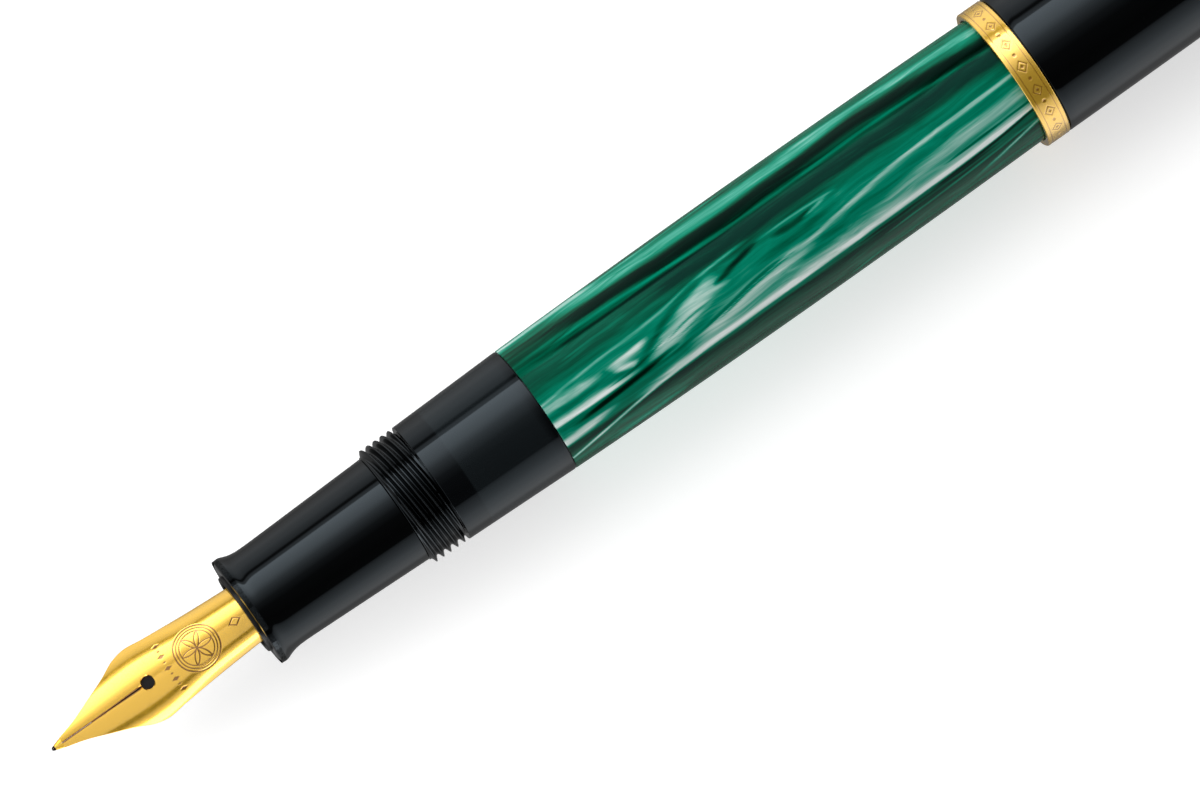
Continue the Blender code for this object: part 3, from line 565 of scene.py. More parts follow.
def smooth_line(points: Sequence[tuple], at: Numbers) -> Numbers:
    """The smooth line through a few points.

    Each stretch is the cubic that leans at its ends as its neighbours do. Past the last point it is level.

    Args:
        points: (place, height) pairs.
        at: the places to read.

    Returns:
        The heights there.
    """
    places, heights = np.array(points, float).T
    leans = np.gradient(heights, places)
    at = np.asarray(at, float)
    i = np.clip(np.searchsorted(places, at) - 1, 0, len(places) - 2)
    span, rise = places[i + 1] - places[i], heights[i + 1] - heights[i]
    u = np.clip((at - places[i]) / span, 0, 1)
    bend = (leans[i] * span - rise) * (1 - u) - (leans[i + 1] * span - rise) * u
    return heights[i] + rise * u + bend * u * (1 - u)


@dataclass(frozen=True)
class PenFrame:
    """Where the pen lies in the row frame: the x of the nib's tip and the height of the axis, in metres."""

    tip_x: float
    axis_z: float

    @staticmethod
    def read() -> "PenFrame":
        """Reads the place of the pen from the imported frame."""
        low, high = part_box("barrel_sleeve")
        return PenFrame(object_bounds()[0].x, (low.z + high.z) / 2)

    def span(self, node: str) -> tuple[float, float]:
        """The first and last station of a CAD node, in millimetres."""
        low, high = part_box(node)
        return (low.x - self.tip_x) / MM, (high.x - self.tip_x) / MM

    def radius(self, node: str) -> float:
        """The greatest radius of a turned CAD node, in millimetres."""
        low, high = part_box(node)
        return (high.z - low.z) / 2 / MM

    def placed(self, points: np.ndarray) -> np.ndarray:
        """Points of the pen's frame in the row frame, in metres."""
        return points * MM + np.array([self.tip_x, 0.0, self.axis_z])


def add_piece(
    pen: PenFrame,
    name: str,
    surface: Surface,
    finish: Finish,
    body: Body,
    nodes: Sequence[str],
    sharp: float = SHARP_ANGLE,
) -> bpy.types.Object:
    """Makes a piece of a surface, closes its seams, turns it outwards and sets it on its body.

    Args:
        pen: where the pen lies.
        name: the piece's name.
        surface: its points and faces, in the pen's frame.
        finish: what it is made of.
        body: the body that it moves with.
        nodes: the CAD nodes that it stands for.
        sharp: the angle past which an edge is shaded sharp.

    Returns:
        The new object.
    """
    mesh = bpy.data.meshes.new(name)
    mesh.from_pydata(pen.placed(surface.points).tolist(), [], surface.faces)
    for key, values in surface.values.items():
        mesh.attributes.new(key, "FLOAT", "POINT").data.foreach_set("value", values.astype(np.float32))
    bm = bmesh.new()
    bm.from_mesh(mesh)
    bmesh.ops.remove_doubles(bm, verts=bm.verts, dist=MERGE_DISTANCE)
    if bm.calc_volume(signed=True) < 0:
        bmesh.ops.reverse_faces(bm, faces=bm.faces)
    bm.to_mesh(mesh)
    bm.free()
    mesh.shade_smooth()
    mesh.set_sharp_from_angle(angle=sharp)
    mesh.materials.append(finish.build())
    piece = bpy.data.objects.new(name, mesh)
    bpy.context.scene.collection.objects.link(piece)
    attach(piece, body.value)
    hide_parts(*nodes)
    LOG.info("%s: %d faces on %s", name, len(mesh.polygons), body.value)
    return piece


def add_ring(pen: PenFrame, name: str, node: str, body: Body, bore: float, rounding: float) -> None:
    """Makes a plated ring as long and as wide as its CAD ring.

    Args:
        pen: where the pen lies.
        name: the piece's name.
        node: the CAD ring.
        body: the body that it moves with.
        bore: the radius of its hole.
        rounding: how far its outer edges are rounded.
    """
    (start, end), radius = pen.span(node), pen.radius(node)
    ring = [(start, bore, 0.03), (start, radius, rounding), (end, radius, rounding), (end, bore, 0.03)]
    add_piece(pen, name, Outline().line(filleted(ring, True)).turned(), POLISHED_GOLD, body, [node])


# ---------------------------------------------------------------- nib unit
@dataclass
class NibUnit:
    """Nib, writing point, feed and collar."""

    pen: PenFrame
    reach: float = 18.7
    half_width: float = 3.25
    height: float = 2.95
    thickness: float = 0.35
    tang: float = 11.0
    shoulder: float = 0.476
    slit: float = 0.13
    point_slit: float = 0.006
    # how far the painted shade on the top reaches beside the slit
    slit_shade: float = 0.05
    hole_radius: float = 0.55
    hole_offset: float = 0.2
    edge: float = 0.05
    hole_edge: float = 0.1
    outline: tuple = ((0.053, 0.14), (0.136, 0.27), (0.237, 0.49), (0.350, 0.75), (0.410, 0.915),
                      (0.476, 1.0), (0.570, 0.95), (0.770, 0.855), (1.000, 0.775))
    ridge_line: tuple = ((0.053, 0.21), (0.20, 0.434), (0.476, 0.78), (0.70, 0.936), (1.0, 1.0))
    arch_line: tuple = ((0.053, 0.92), (0.476, 1.26), (0.75, 0.955), (1.0, 0.831))
    rosette_station: float = 13.8
    rosette_radius: float = 1.9
    inner_ring: float = 0.87  # of the rosette's radius
    petal: float = 0.74  # of the rosette's radius
    petals: int = 6
    line: float = 0.075  # half widths of the broad and the fine engraved lines
    fine_line: float = 0.055
    petal_line: float = 0.06
    row_gap: float = 0.85  # from the rosette to the row of lozenges, which bows back at its sides
    row_bow: float = 0.035
    lozenge_pitch: float = 0.52
    lozenge_half: tuple = (0.36, 0.17)
    rear_station: float = 17.4
    rear_half: tuple = (0.5, 0.32)
    engraving_depth: float = 0.022
    point_length: float = 0.99
    ball_radius: float = 0.2
    feed_gap: float = 0.1
    fin_count: int = 9
    fin_pitch: float = 0.9
    fin_slot: float = 0.4
    feed_tip: float = 3.8
    feed_core: float = 1.3

    @property
    def hole_station(self) -> float:
        """The middle of the breather hole."""
        return self.shoulder * self.reach + self.hole_offset

    def width_at(self, station: Numbers) -> Numbers:
        """Half the nib's width."""
        return self.half_width * smooth_line(self.outline, station / self.reach)

    def ridge_at(self, station: Numbers) -> Numbers:
        """The height of the nib's ridge over the axis."""
        return self.height * smooth_line(self.ridge_line, station / self.reach)

    def arch_at(self, station: Numbers) -> Numbers:
        """The radius of the nib's arch."""
        return self.half_width * smooth_line(self.arch_line, station / self.reach)

    def engraved(self, station: np.ndarray, across: np.ndarray) -> np.ndarray:
        """How deep the ornament is cut, from 0 to 1.

        It has two rings, petals of circle arcs inside them, a row of lozenges in front, and one behind.

        Args:
            station: stations, in millimetres.
            across: distances over the arch from the ridge, in millimetres.

        Returns:
            The depth's share at each, which also sets how strongly the lines are painted brown as shade.
        """
        u, v = station - self.rosette_station, across
        rho = np.hypot(u, v)
        rings = [stroke(rho - self.rosette_radius, self.line),
                 stroke(rho - self.inner_ring * self.rosette_radius, self.fine_line)]
        petal = self.petal * self.rosette_radius
        rings.append(np.where(rho < petal + 0.1, stroke(rho - petal, 0.05), 0))
        for turn in np.arange(self.petals) * 2 * math.pi / self.petals:
            distance = np.hypot(u - petal * math.cos(turn), v - petal * math.sin(turn)) - petal
            rings.append(np.where(rho < petal, stroke(distance, self.petal_line), 0))
        bow = self.rosette_station - self.rosette_radius - self.row_gap + self.row_bow * v**2
        cell = (v + self.lozenge_pitch / 2) % self.lozenge_pitch - self.lozenge_pitch / 2
        index = np.round(v / self.lozenge_pitch)
        size = np.where(index % 2 == 0, 1.0, 0.45)
        long, wide = (half * size for half in self.lozenge_half)
        lozenge = 1.15 - np.abs((station - bow) / long) - np.abs(cell / wide)
        row = np.where(np.abs(index) < 4.5, np.clip(2.2 * lozenge, 0, 0.9), 0)
        rear = np.abs((station - self.rear_station) / self.rear_half[0]) + np.abs(v / self.rear_half[1])
        return np.maximum.reduce([*rings, row, stroke((rear - 1) * 0.26, self.petal_line)])

    def half_nib(self, side: int) -> Surface:
        """One half of the nib, from the slit to its edge.

        A point over the arch is (R sin a, ridge - R + R cos a), and the under side has the radius R less the
        thickness about the same middle. The inner edge follows the slit, goes round the hole as
        sqrt(r^2 - (station - middle)^2), and behind it lies on the ridge, where the halves join.

        Args:
            side: 1 or -1.

        Returns:
            The half.
        """
        hole, r = self.hole_station, self.hole_radius
        first = self.outline[0][0] * self.reach
        front = hole - math.sqrt(r**2 - (self.slit / 2) ** 2)
        turn = np.linspace(math.asin(self.slit / 2 / r), math.pi, 26)
        round_hole = hole - r * np.cos(turn)
        stations = np.concatenate([
            np.linspace(first, front, 66)[:-1],
            round_hole,
            np.linspace(hole + r, 11.9, 52)[1:],
            np.arange(11.94, 15.8, 0.042),
            np.linspace(15.8, 16.8, 10),
            np.arange(16.84, 18.0, 0.045),
            np.linspace(18.1, self.reach + self.tang, 20),
        ])
        s = stations[:, None]
        slit_half = np.interp(
            s, [first, front / 2, front], [self.point_slit / 2, self.point_slit, self.slit / 2])
        inner = np.where(s < front, slit_half, np.sqrt(np.clip(r**2 - (s - hole) ** 2, 0, None)))
        inner = np.where(s >= hole + r, 0.0, inner)
        open_rows = (stations < hole + r - 1e-9)[:, None]
        edge_in = np.where(open_rows, np.where(s < front - 0.3, self.edge * 0.6, self.hole_edge), 0.0)
        edge_in = np.minimum(edge_in, self.thickness * 0.3)
        arch, ridge, width = self.arch_at(s), self.ridge_at(s), self.width_at(s)
        top_share = np.linspace(0, 1, 72)[None, :]
        span = width - self.edge - inner - edge_in
        top_y = inner + edge_in + span * top_share
        quarter = np.linspace(0, math.pi / 2, 5)[None, 1:]
        low, edge = self.thickness, self.edge
        round_y = width - edge + edge * np.sin(quarter)
        round_drop = edge - edge * np.cos(quarter)
        rim_y = np.concatenate([round_y, round_y[:, ::-1][:, :-1], width - edge], axis=1)
        lower_drop = low - round_drop[:, ::-1][:, :-1]
        rim_drop = np.concatenate([round_drop, lower_drop, np.full((1, 1), low)], axis=1)
        under_share = np.linspace(1, 0, 14)[None, 1:]
        under_y = inner + edge_in + span * under_share
        wall_y = np.repeat(inner, 3, axis=1)
        wall_drop = np.concatenate([low - edge_in, np.full_like(edge_in, low / 2), edge_in], axis=1)
        rows = len(stations)
        y = np.concatenate([top_y, rim_y, under_y, wall_y], axis=1)
        drop = np.concatenate([
            np.zeros_like(top_y),
            np.repeat(rim_drop, rows, axis=0),
            np.full_like(under_y, low),
            wall_drop,
        ], axis=1)
        angle = np.arcsin(np.clip(y / arch, -1, 1))
        marks = np.zeros_like(y)
        top_columns = top_y.shape[1]
        marks[:, :top_columns] = self.engraved(s, side * arch * angle[:, :top_columns])
        rho = arch - drop - self.engraving_depth * marks
        # The walls of the slit are in the shade, so they are painted with the brown shade of the engraved
        # lines.
        in_slit = np.where(s < front - 0.2, 1.0, 0.0)
        marks[:, -3:] = in_slit
        # A strip of the top beside the slit is painted with that brown too, as shade along the slit.
        beside = top_y - inner < self.edge * 0.6 + self.slit_shade
        marks[:, :top_columns] = np.maximum(marks[:, :top_columns], 0.75 * in_slit * beside)
        points = np.stack([
            np.repeat(s, y.shape[1], axis=1),
            side * rho * np.sin(angle),
            ridge - arch + rho * np.cos(angle),
        ], axis=-1)
        columns = y.shape[1]
        quads = grid_faces(rows, columns, False).reshape(rows - 1, columns, 4)
        # Behind the hole the wall between the halves is left out: its strips run from the last point under to
        # the first point on top.
        wall_first = columns - 4
        inside = np.arange(columns)[None, :] >= wall_first
        keep = ~(inside & (stations[:-1] >= hole + r - 1e-9)[:, None])
        faces = quads[keep].tolist()
        faces.append(list(range(columns))[::-1])
        faces.append([(rows - 1) * columns + k for k in range(wall_first + 1)])
        if side < 0:
            faces = [face[::-1] for face in faces]
        return Surface(points.reshape(-1, 3), faces, {"engraved": marks.ravel()})

    def nib(self) -> Surface:
        """Both halves of the nib as one surface.

        Returns:
            The surface, with the engraving and the painted shade along the slit marked.
        """
        left, right = self.half_nib(1), self.half_nib(-1)
        offset = len(left.points)
        faces = left.faces + [[k + offset for k in face] for face in right.faces]
        values = {"engraved": np.concatenate([left.values["engraved"], right.values["engraved"]])}
        return Surface(np.vstack([left.points, right.points]), faces, values)

    def point_half(self, side: int) -> Surface:
        """Half of the writing point: a ball, and behind it the gold drawn out to hold it, cut along the slit.

        A section is the ellipse (w sin a, h cos a). The ball's w and h are R sqrt(1 - (1 - u / v)^2) up to
        u = v, and behind it w widens to the nib's own width.

        Args:
            side: 1 or -1.

        Returns:
            The half, with the ball marked.
        """
        length, ball, ball_share = self.point_length, self.ball_radius, 0.3
        root = self.width_at(length) - 0.03
        middle = self.ridge_at(0.0) - self.thickness / 2
        u = ball_share * (1 - np.cos(np.linspace(0.12, math.pi / 2, 9)))
        u = np.concatenate([u, np.linspace(0.36, 1.0, 12)])
        round_end = np.sqrt(np.clip(1 - (1 - np.minimum(u / ball_share, 1)) ** 2, 0.02, 1))
        behind = np.clip((u - ball_share) / (1 - ball_share), 0, 1)
        wide = ball * round_end + (root - ball) * behind**0.8
        high = ball * round_end - 0.02 * behind
        half_slit = self.point_slit / 2
        start = np.arcsin(np.minimum(half_slit / wide, 0.9))[:, None]
        angle = start + (math.pi - 2 * start) * np.linspace(0, 1, 19)[None, :]
        x = np.repeat((u * length)[:, None], 19, axis=1)
        points = np.stack([
            x, side * wide[:, None] * np.sin(angle), middle + high[:, None] * np.cos(angle)
        ], axis=-1)
        surface = lofted(points)
        surface.values = {"ball": np.clip((0.34 - surface.points[:, 0]) / 0.06, 0, 1)}
        return surface

    def feed(self) -> Surface:
        """The feed: a keel that follows the nib's arch and narrows to its tip, with slots cut across it.

        In a slot every point farther than the core's radius from the axis is drawn in to it.

        Returns:
            The surface.
        """
        tip, slot, joint = self.feed_tip, self.fin_slot, 0.012
        rear_slot = self.reach - 1.4
        full = rear_slot - self.fin_count / 2 * self.fin_pitch
        low_slots = [rear_slot - i * self.fin_pitch for i in range(self.fin_count)][::-1]
        stations: list[tuple[float, bool]] = [(x, False) for x in np.linspace(tip, low_slots[0] - 0.05, 30)]
        for start in low_slots:
            stations += [(start - joint, False), (start, True), (start + slot, True)]
            stations += [(start + slot + joint, False), (start + slot + 0.2, False)]
        stations += [(x, False) for x in np.linspace(self.reach - 0.3, self.reach + 14.3, 12)]
        stations.sort()
        s = np.array([x for x, _ in stations])[:, None]
        is_slot = np.array([flag for _, flag in stations])[:, None]
        share = np.clip((s - tip) / (full - tip), 0, 1)
        swell = np.sin(share * math.pi / 2)
        radius = self.arch_at(s) - self.thickness - self.feed_gap
        widest = self.width_at(s) * radius / self.arch_at(s) - 0.15
        half = 0.45 + (widest - 0.45) * swell
        top_y = half * np.linspace(1, -1, 21)[None, :]
        top_z = self.ridge_at(s) - self.thickness - self.feed_gap - radius + np.sqrt(radius**2 - top_y**2)
        edge = top_z[:, :1]
        depth = 0.4 + (self.height + edge - 0.4) * swell
        angle = np.linspace(math.pi, 0, 27)[None, 1:-1]
        low_y = half * np.sign(np.cos(angle)) * np.abs(np.cos(angle)) ** 0.8
        low_z = edge - depth * np.sin(angle)
        y, z = np.concatenate([top_y, low_y], axis=1), np.concatenate([top_z, low_z], axis=1)
        shrink = np.where(is_slot, np.minimum(1, self.feed_core / np.maximum(np.hypot(y, z), 1e-6)), 1.0)
        x = np.repeat(s, y.shape[1], axis=1)
        return lofted(np.stack([x, y * shrink, z * shrink], axis=-1))

    def collar(self) -> Surface:
        """The collar: a sleeve with a flange, whose rounded rim shows in the mouth.

        Returns:
            The surface.
        """
        front, end = self.pen.span("nib_collar")
        outer, bore = self.pen.radius("nib_collar"), self.pen.radius("nib_collar") - 0.45
        flange = front + 1.2
        corners = [
            (front, bore, 0.12), (front, outer, 0.12), (flange, outer, 0.03), (flange, outer - 0.1, 0.0),
            (end, outer - 0.1, 0.05), (end, bore, 0.05),
        ]
        return Outline().line(filleted(corners, True)).turned(128)

    def build(self) -> None:
        """Makes the pieces of the nib unit."""
        add_piece(self.pen, "engraved_nib", self.nib(), NIB_GOLD, Body.BARREL, ["nib"])
        for word, side in (("left", 1), ("right", -1)):
            add_piece(self.pen, "writing_point_" + word, self.point_half(side), POINT_ALLOY, Body.BARREL,
                      ["tipping_" + word])
        add_piece(self.pen, "finned_feed", self.feed(), EBONITE, Body.BARREL, ["feed"])
        add_piece(self.pen, "feed_collar", self.collar(), EBONITE, Body.BARREL, ["nib_collar"])


# ---------------------------------------------------------------- section, window and barrel
@dataclass
class Grip:
    """The grip section: a flared lip, a straight taper and the cap's thread."""

    pen: PenFrame
    length: float = 14.3
    thread_length: float = 3.375
    thread_pitch: float = 0.675
    thread_starts: int = 4
    lip_offset: float = 0.5
    lip_fade: float = 0.4
    lip_height: float = 0.47
    wall: float = 0.76
    land: float = 0.56
    thread_depth: float = 0.46
    spigot_radius: float = 4.35
    steps: int = 224

    def build(self) -> None:
        """Makes the grip section."""
        socket = self.pen.radius("nib_collar") + 0.1
        mouth, end = self.pen.span("grip_section")
        thread_start = mouth + self.length
        thread_end = thread_start + self.thread_length
        root = self.pen.radius("grip_section") - self.thread_depth
        front, rear = socket + self.wall, root - 0.08

        def radius(station: Numbers) -> Numbers:
            """A straight taper, and a lip that fades behind its crest as (1 + u) e^-u."""
            behind = station - mouth
            u = np.clip(behind - self.lip_offset, 0, None) / self.lip_fade
            return front + (rear - front) * behind / self.length + self.lip_height * (1 + u) * np.exp(-u)

        crest = mouth + self.lip_offset
        mouth_radius = socket + self.land
        angle = np.linspace(math.pi, math.pi / 2, 10)
        lip = np.column_stack([
            crest + self.lip_offset * np.cos(angle),
            mouth_radius + (radius(crest) - mouth_radius) * np.sin(angle),
        ])
        taper = mouth + np.concatenate([np.linspace(0.05, 3.2, 30), np.linspace(3.6, self.length - 0.35, 24)])
        neck = thread_start - 0.3
        neck = filleted([
            (neck, radius(neck), 0), (thread_start - 0.12, rear + 0.01, 0.06),
            (thread_start - 0.08, rear - 0.12, 0.03), (thread_start - 0.02, root, 0)], False)
        tail = filleted([
            (thread_end + 0.001, root, 0), (thread_end + 0.001, self.spigot_radius, 0.02),
            (end, self.spigot_radius, 0.1), (end, socket - 0.1, 0.1)], False)
        bore = [(end - 0.1, socket - 0.1), (mouth + 1.0, socket - 0.1), (mouth + 1.0, socket),
                (mouth + 0.08, socket), (mouth, socket + 0.06)]
        thread = Thread(thread_start, thread_end, self.thread_depth, self.thread_pitch, self.thread_starts)
        outline = Outline().line(bore).line(lip).line(np.column_stack([taper, radius(taper)])).line(neck)
        outline.thread(thread, root).line(tail[1:])
        add_piece(self.pen, "threaded_grip", outline.turned(self.steps), BLACK_RESIN, Body.BARREL,
                  ["grip_section"], THREAD_SHARP)


@dataclass(frozen=True)
class Fold:
    """One fold of pearl in the marbled resin.

    Its middle follows (station, side angle) points, smoothed by averaging over 3 mm. Across it fades as
    e^-|q|^3, with q the distance from the middle over the width, and 3 times as fast on the crisp side. Both
    ends draw in to points.
    """

    path: tuple
    width: float
    level: float
    strength: float = 0.9
    crisp: int = 0
    ends: float = 2.5

    def paint(self, tone: np.ndarray, station: np.ndarray, side: np.ndarray) -> np.ndarray:
        """Lays the fold over what is there.

        Args:
            tone: the pearl level so far.
            station: stations from the front of the barrel, in millimetres.
            side: side angles, in degrees.

        Returns:
            The new level.
        """
        stations, sides = np.array(self.path, float).T
        middle = np.mean([np.interp(station + d, stations, sides) for d in np.linspace(-1.5, 1.5, 5)], axis=0)
        away = (side - middle + 180) % 360 - 180
        before, behind = (station - stations[0]) / self.ends, (stations[-1] - station) / self.ends
        along = np.clip(np.minimum(before, behind), 0, 1)
        q = away / (self.width * (0.3 + 0.7 * np.sqrt(along)))
        q = np.where(q * self.crisp > 0, 3 * q, q)
        share = self.strength * np.exp(-np.abs(q) ** 3) * along * (2 - along)
        return tone * (1 - share) + self.level * share


@dataclass
class Barrel:
    """The ink window with its reservoir, and the marbled sleeve over it."""

    pen: PenFrame
    bore: float = 4.45
    sleeve_bore: float = 5.1
    front_wall: float = 0.5
    tail_wall: float = 0.3
    belly: float = 23.4  # where the sleeve is widest, behind its front
    posted_cap: float = 47.0  # what the cap hides starts here, behind the sleeve's front
    steps: int = 400
    random_folds: int = 54
    folds: tuple = (
        # the silver sheet along the far side, over a green that is darkened along the whole side as painted
        # shade, where the light falls strongest
        Fold(((-12, -74), (62, -74)), 24, 0.36, 0.9, ends=1),
        Fold(((-6, -73), (3, -77), (10, -73)), 7, 0.90, 0.85),
        Fold(((4, -66), (12, -61), (18, -58), (26, -57), (34, -59)), 8.5, 0.70, 0.92, ends=5),
        Fold(((8, -75), (16, -72), (22, -74)), 3, 0.70, 0.7),
        Fold(((14, -69), (21, -69), (29, -72)), 4, 0.34, 0.85, ends=4),
        Fold(((9, -69), (13, -58), (17, -54)), 1.2, 0.55, 0.6),
        Fold(((14, -68), (20, -66), (25, -70)), 1.6, 0.5, 0.6),
        Fold(((26, -64), (32, -60), (38, -57), (46, -52), (62, -46)), 8, 0.72, 0.92, crisp=1, ends=6),
        Fold(((28, -68), (38, -68), (62, -66)), 3.5, 0.42, 0.8, ends=4),
        Fold(((28, -74), (38, -70), (46, -66)), 2.5, 0.5, 0.6, ends=4),
        # the dark fold under it, its black core and the bright line beside it
        Fold(((-9, -60), (3, -57), (9, -50), (14, -46)), 9, 0.24, 0.92, crisp=-1, ends=3),
        Fold(((-8, -47), (6, -45), (14, -40), (32, -42), (62, -32)), 14, 0.22, 0.92, crisp=-1, ends=4),
        Fold(((3, -48), (12, -43), (20, -41), (27, -42.5), (33, -46.5), (40, -41), (46, -34), (62, -30)),
             6.8, 0.0, 0.97, ends=8),
        Fold(((-6, -54), (6, -51), (14, -48)), 2.0, 0.06, 0.7),
        Fold(((-4, -40), (4, -41), (14, -36)), 2.0, 0.44, 0.7),
        Fold(((-4, -33), (10, -34)), 1.5, 0.38, 0.6),
        Fold(((3, -31), (12, -29.5), (20, -28)), 1.8, 0.02, 0.9),
        Fold(((2, -38), (10, -36), (15, -33), (21, -30.8), (26, -30.5), (32, -33.5), (38, -32), (46, -27),
              (62, -25)), 1.7, 0.56, 0.95, ends=7),
        # the still, dark sheet on top
        Fold(((9, -21), (62, -20)), 9.5, 0.05, 0.95, ends=10),
        Fold(((-8, -22), (13, -21)), 8, 0.24, 0.9),
        Fold(((3, -20), (14, -21)), 1.2, 0.48, 0.6),
        Fold(((-8, -11), (14, -12), (62, -9)), 4, 0.32, 0.8),
        Fold(((26, -8), (36, -7), (62, -8)), 4, 0.44, 0.8),
        # the eddy in the front half
        Fold(((-3, 3), (3, -2), (6, -4), (11, -5), (16, -12), (21, -14)), 1.4, 0.75, 0.9),
        Fold(((-5, 5), (2, 6), (5.6, 8)), 4.0, 0.82, 0.9),
        Fold(((-5, 13), (3, 14), (8, 17)), 2.6, 0.45, 0.85),
        Fold(((5.7, 6), (7.5, 7), (10, 3)), 4.8, 0.92, 0.95, crisp=-1, ends=1.2),
        Fold(((6.0, 9), (8.8, 19)), 3.0, 0.88, 0.9, ends=1.0),
        Fold(((8.8, 24), (11.5, 17), (14, 7), (17.4, -6)), 9.5, 0.84, 0.94, ends=2.0),
        Fold(((12.5, 3), (15.5, 1), (18, 5)), 4.2, 0.86, 0.8, ends=1.5),
        Fold(((7.2, 24), (9.3, 14), (11, 4), (13, -4), (16.5, -11)), 2.8, 0.40, 0.95, ends=1.5),
        Fold(((10.5, 18), (13, 10), (18, 8)), 0.9, 0.52, 0.7),
        Fold(((11.5, 20), (14, 14), (17.5, 12)), 0.8, 0.5, 0.6),
        Fold(((-6, 22), (3, 22), (8.5, 22.5)), 5.6, 0.96, 0.95, crisp=1, ends=4),
        Fold(((1.0, 30.5), (4, 28.5), (8, 26), (12, 22)), 2.4, 0.06, 0.97, ends=3.5),
        Fold(((8, 29), (13, 26), (17, 19)), 1.6, 0.42, 0.85),
        Fold(((5, 20), (8.5, 19), (11, 12)), 1.0, 0.22, 0.7),
        Fold(((-5, 40), (1, 39), (5.5, 36)), 3.8, 0.98, 0.95, ends=3),
        # the long bright fold, dark and sharp on its near side
        Fold(((-12, 68), (62, 68)), 15, 0.24, 0.9, ends=1),
        Fold(((-5, 47), (6, 46), (10, 47), (62, 48)), 8, 0.10, 0.9, crisp=-1),
        Fold(((-2, 64), (3, 53), (7, 45.5), (12, 40)), 1.9, 0.92, 0.95, ends=2),
        Fold(((16, 31), (30, 29), (62, 25)), 5.5, 0.78, 0.6, ends=9),
        Fold(((6.5, 42.5), (11, 41), (15, 40), (20, 38.8), (30, 37.4), (38, 36.4), (46, 33.4), (62, 30)),
             6.6, 0.93, 0.95, crisp=1, ends=5),
        Fold(((9, 39.5), (16, 38.2), (24, 37.4), (40, 35.2), (62, 29)), 2.4, 1.0, 0.85, ends=7),
        # the fold that leaves it and crosses the top
        Fold(((12, 32), (16, 26), (20, 21), (26, 16)), 7.5, 0.90, 0.92, ends=3.5),
        Fold(((12.5, 27), (16, 22), (20, 15), (23, 13)), 1.5, 0.38, 0.8),
        Fold(((15, 27), (19, 19), (24, 15)), 0.9, 0.45, 0.7),
        Fold(((20, 20), (25, 14), (28, 10.5), (33, 4), (39, 1), (46, -0.5), (62, -2)),
             3.0, 0.82, 0.9, crisp=-1, ends=4),
        Fold(((16.5, 2), (19, -4), (21.5, -9)), 2.4, 0.10, 0.85, ends=1.5),
        Fold(((22.3, -5), (24.5, -1), (27.2, -6)), 2.6, 0.18, 0.85, ends=1.5),
        Fold(((19.5, 6), (24, 7), (27.5, 3)), 3.0, 0.36, 0.8),
        Fold(((21, -8), (25, -9), (29, -6)), 1.1, 0.74, 0.8, ends=1.2),
        Fold(((25.3, -1), (28, -7)), 1.4, 0.82, 0.8, ends=1.0),
        Fold(((30, 25), (38, 19), (43, 16.5), (48, 15), (62, 12)), 6.2, 0.80, 0.85, ends=9),
        Fold(((37, 29), (46, 26), (60, 22)), 0.9, 0.28, 0.85),
        Fold(((27, 43.5), (36, 43), (42, 42)), 1.1, 0.04, 0.85),
        Fold(((35, 41.5), (41, 39.5), (46, 34), (62, 27)), 1.3, 0.04, 0.95, ends=3),
        Fold(((38, 63), (42, 54), (46, 45), (60, 40)), 1.8, 0.86, 0.92, ends=2.5),
        Fold(((30, 52), (38, 49.5), (46, 44)), 1.2, 0.62, 0.8),
        # the near side
        Fold(((-5, 66), (5, 67), (12, 62)), 5, 0.40, 0.8),
        Fold(((3, 73), (11, 68)), 4, 0.70, 0.6),
        Fold(((12, 57), (30, 60), (46, 62)), 5, 0.25, 0.7),
        Fold(((26, 75), (31, 65)), 2.5, 0.66, 0.6),
        Fold(((24, 66), (46, 67), (60, 66)), 5, 0.36, 0.7),
    )

    def pearl(self, station: np.ndarray, side: np.ndarray) -> np.ndarray:
        """The pearl level over the sleeve: slow waves, random folds on its far side, then the laid out folds.

        Args:
            station: stations from the front of the sleeve, in millimetres.
            side: side angles, in degrees.

        Returns:
            Levels from 0, dark, to 1, silver.
        """
        turn = np.radians(side)
        tone = 0.48 + 0.05 * np.sin(3 * turn + 0.06 * station)
        tone = tone + 0.04 * np.sin(7 * turn - 0.045 * station + 1.7)
        seeded = np.random.default_rng(11)
        for _ in range(self.random_folds):
            start, length = seeded.uniform(-12, 52), seeded.uniform(14, 40)
            angle, lean = seeded.uniform(82, 278), seeded.uniform(-14, 14)
            path = ((start, angle), (start + length / 2, angle + lean), (start + length, angle + 1.3 * lean))
            level = float(seeded.choice([0.02, 0.12, 0.62, 0.84, 0.93]))
            fold = Fold(path, seeded.uniform(1.5, 8), level, 0.85, crisp=int(seeded.integers(-1, 2)), ends=6)
            tone = fold.paint(tone, station, side)
        for fold in self.folds:
            tone = fold.paint(tone, station, side)
        return np.clip(tone, 0, 1)

    def build(self) -> None:
        """Makes the reservoir with its window, and the sleeve."""
        pen = self.pen
        front, end = pen.span("reservoir_tube")
        sleeve_front, sleeve_end = pen.span("barrel_sleeve")
        window_end = sleeve_front - 0.1
        under_sleeve = self.sleeve_bore - 0.1
        corners = [
            (front, self.bore, 0.05), (front, pen.radius("grip_section"), 0.05),
            (window_end, pen.radius("reservoir_tube"), 0.02), (window_end, under_sleeve, 0.0),
            (end, under_sleeve, 0.05), (end, self.bore, 0.05),
        ]
        # Dyed clear resin, polished: it mirrors like the black, but lets a little blue grey through.
        smoke = SmokedResin("smoked_clear_resin", Slot.SMOKED, "#121618", 0.05, specular=0.33,
                            specular_tint="#dff2ff", grain_mm=(6.0, 2.0), gloss_spread=0.02, relief_mm=0.0005,
                            spigot_end_m=pen.tip_x + pen.span("grip_section")[1] * MM,
                            sleeve_m=pen.tip_x + window_end * MM)
        tube = Outline().line(filleted(corners, True)).turned(192)
        add_piece(pen, "ink_window", tube, smoke, Body.BARREL, ["reservoir_tube"])

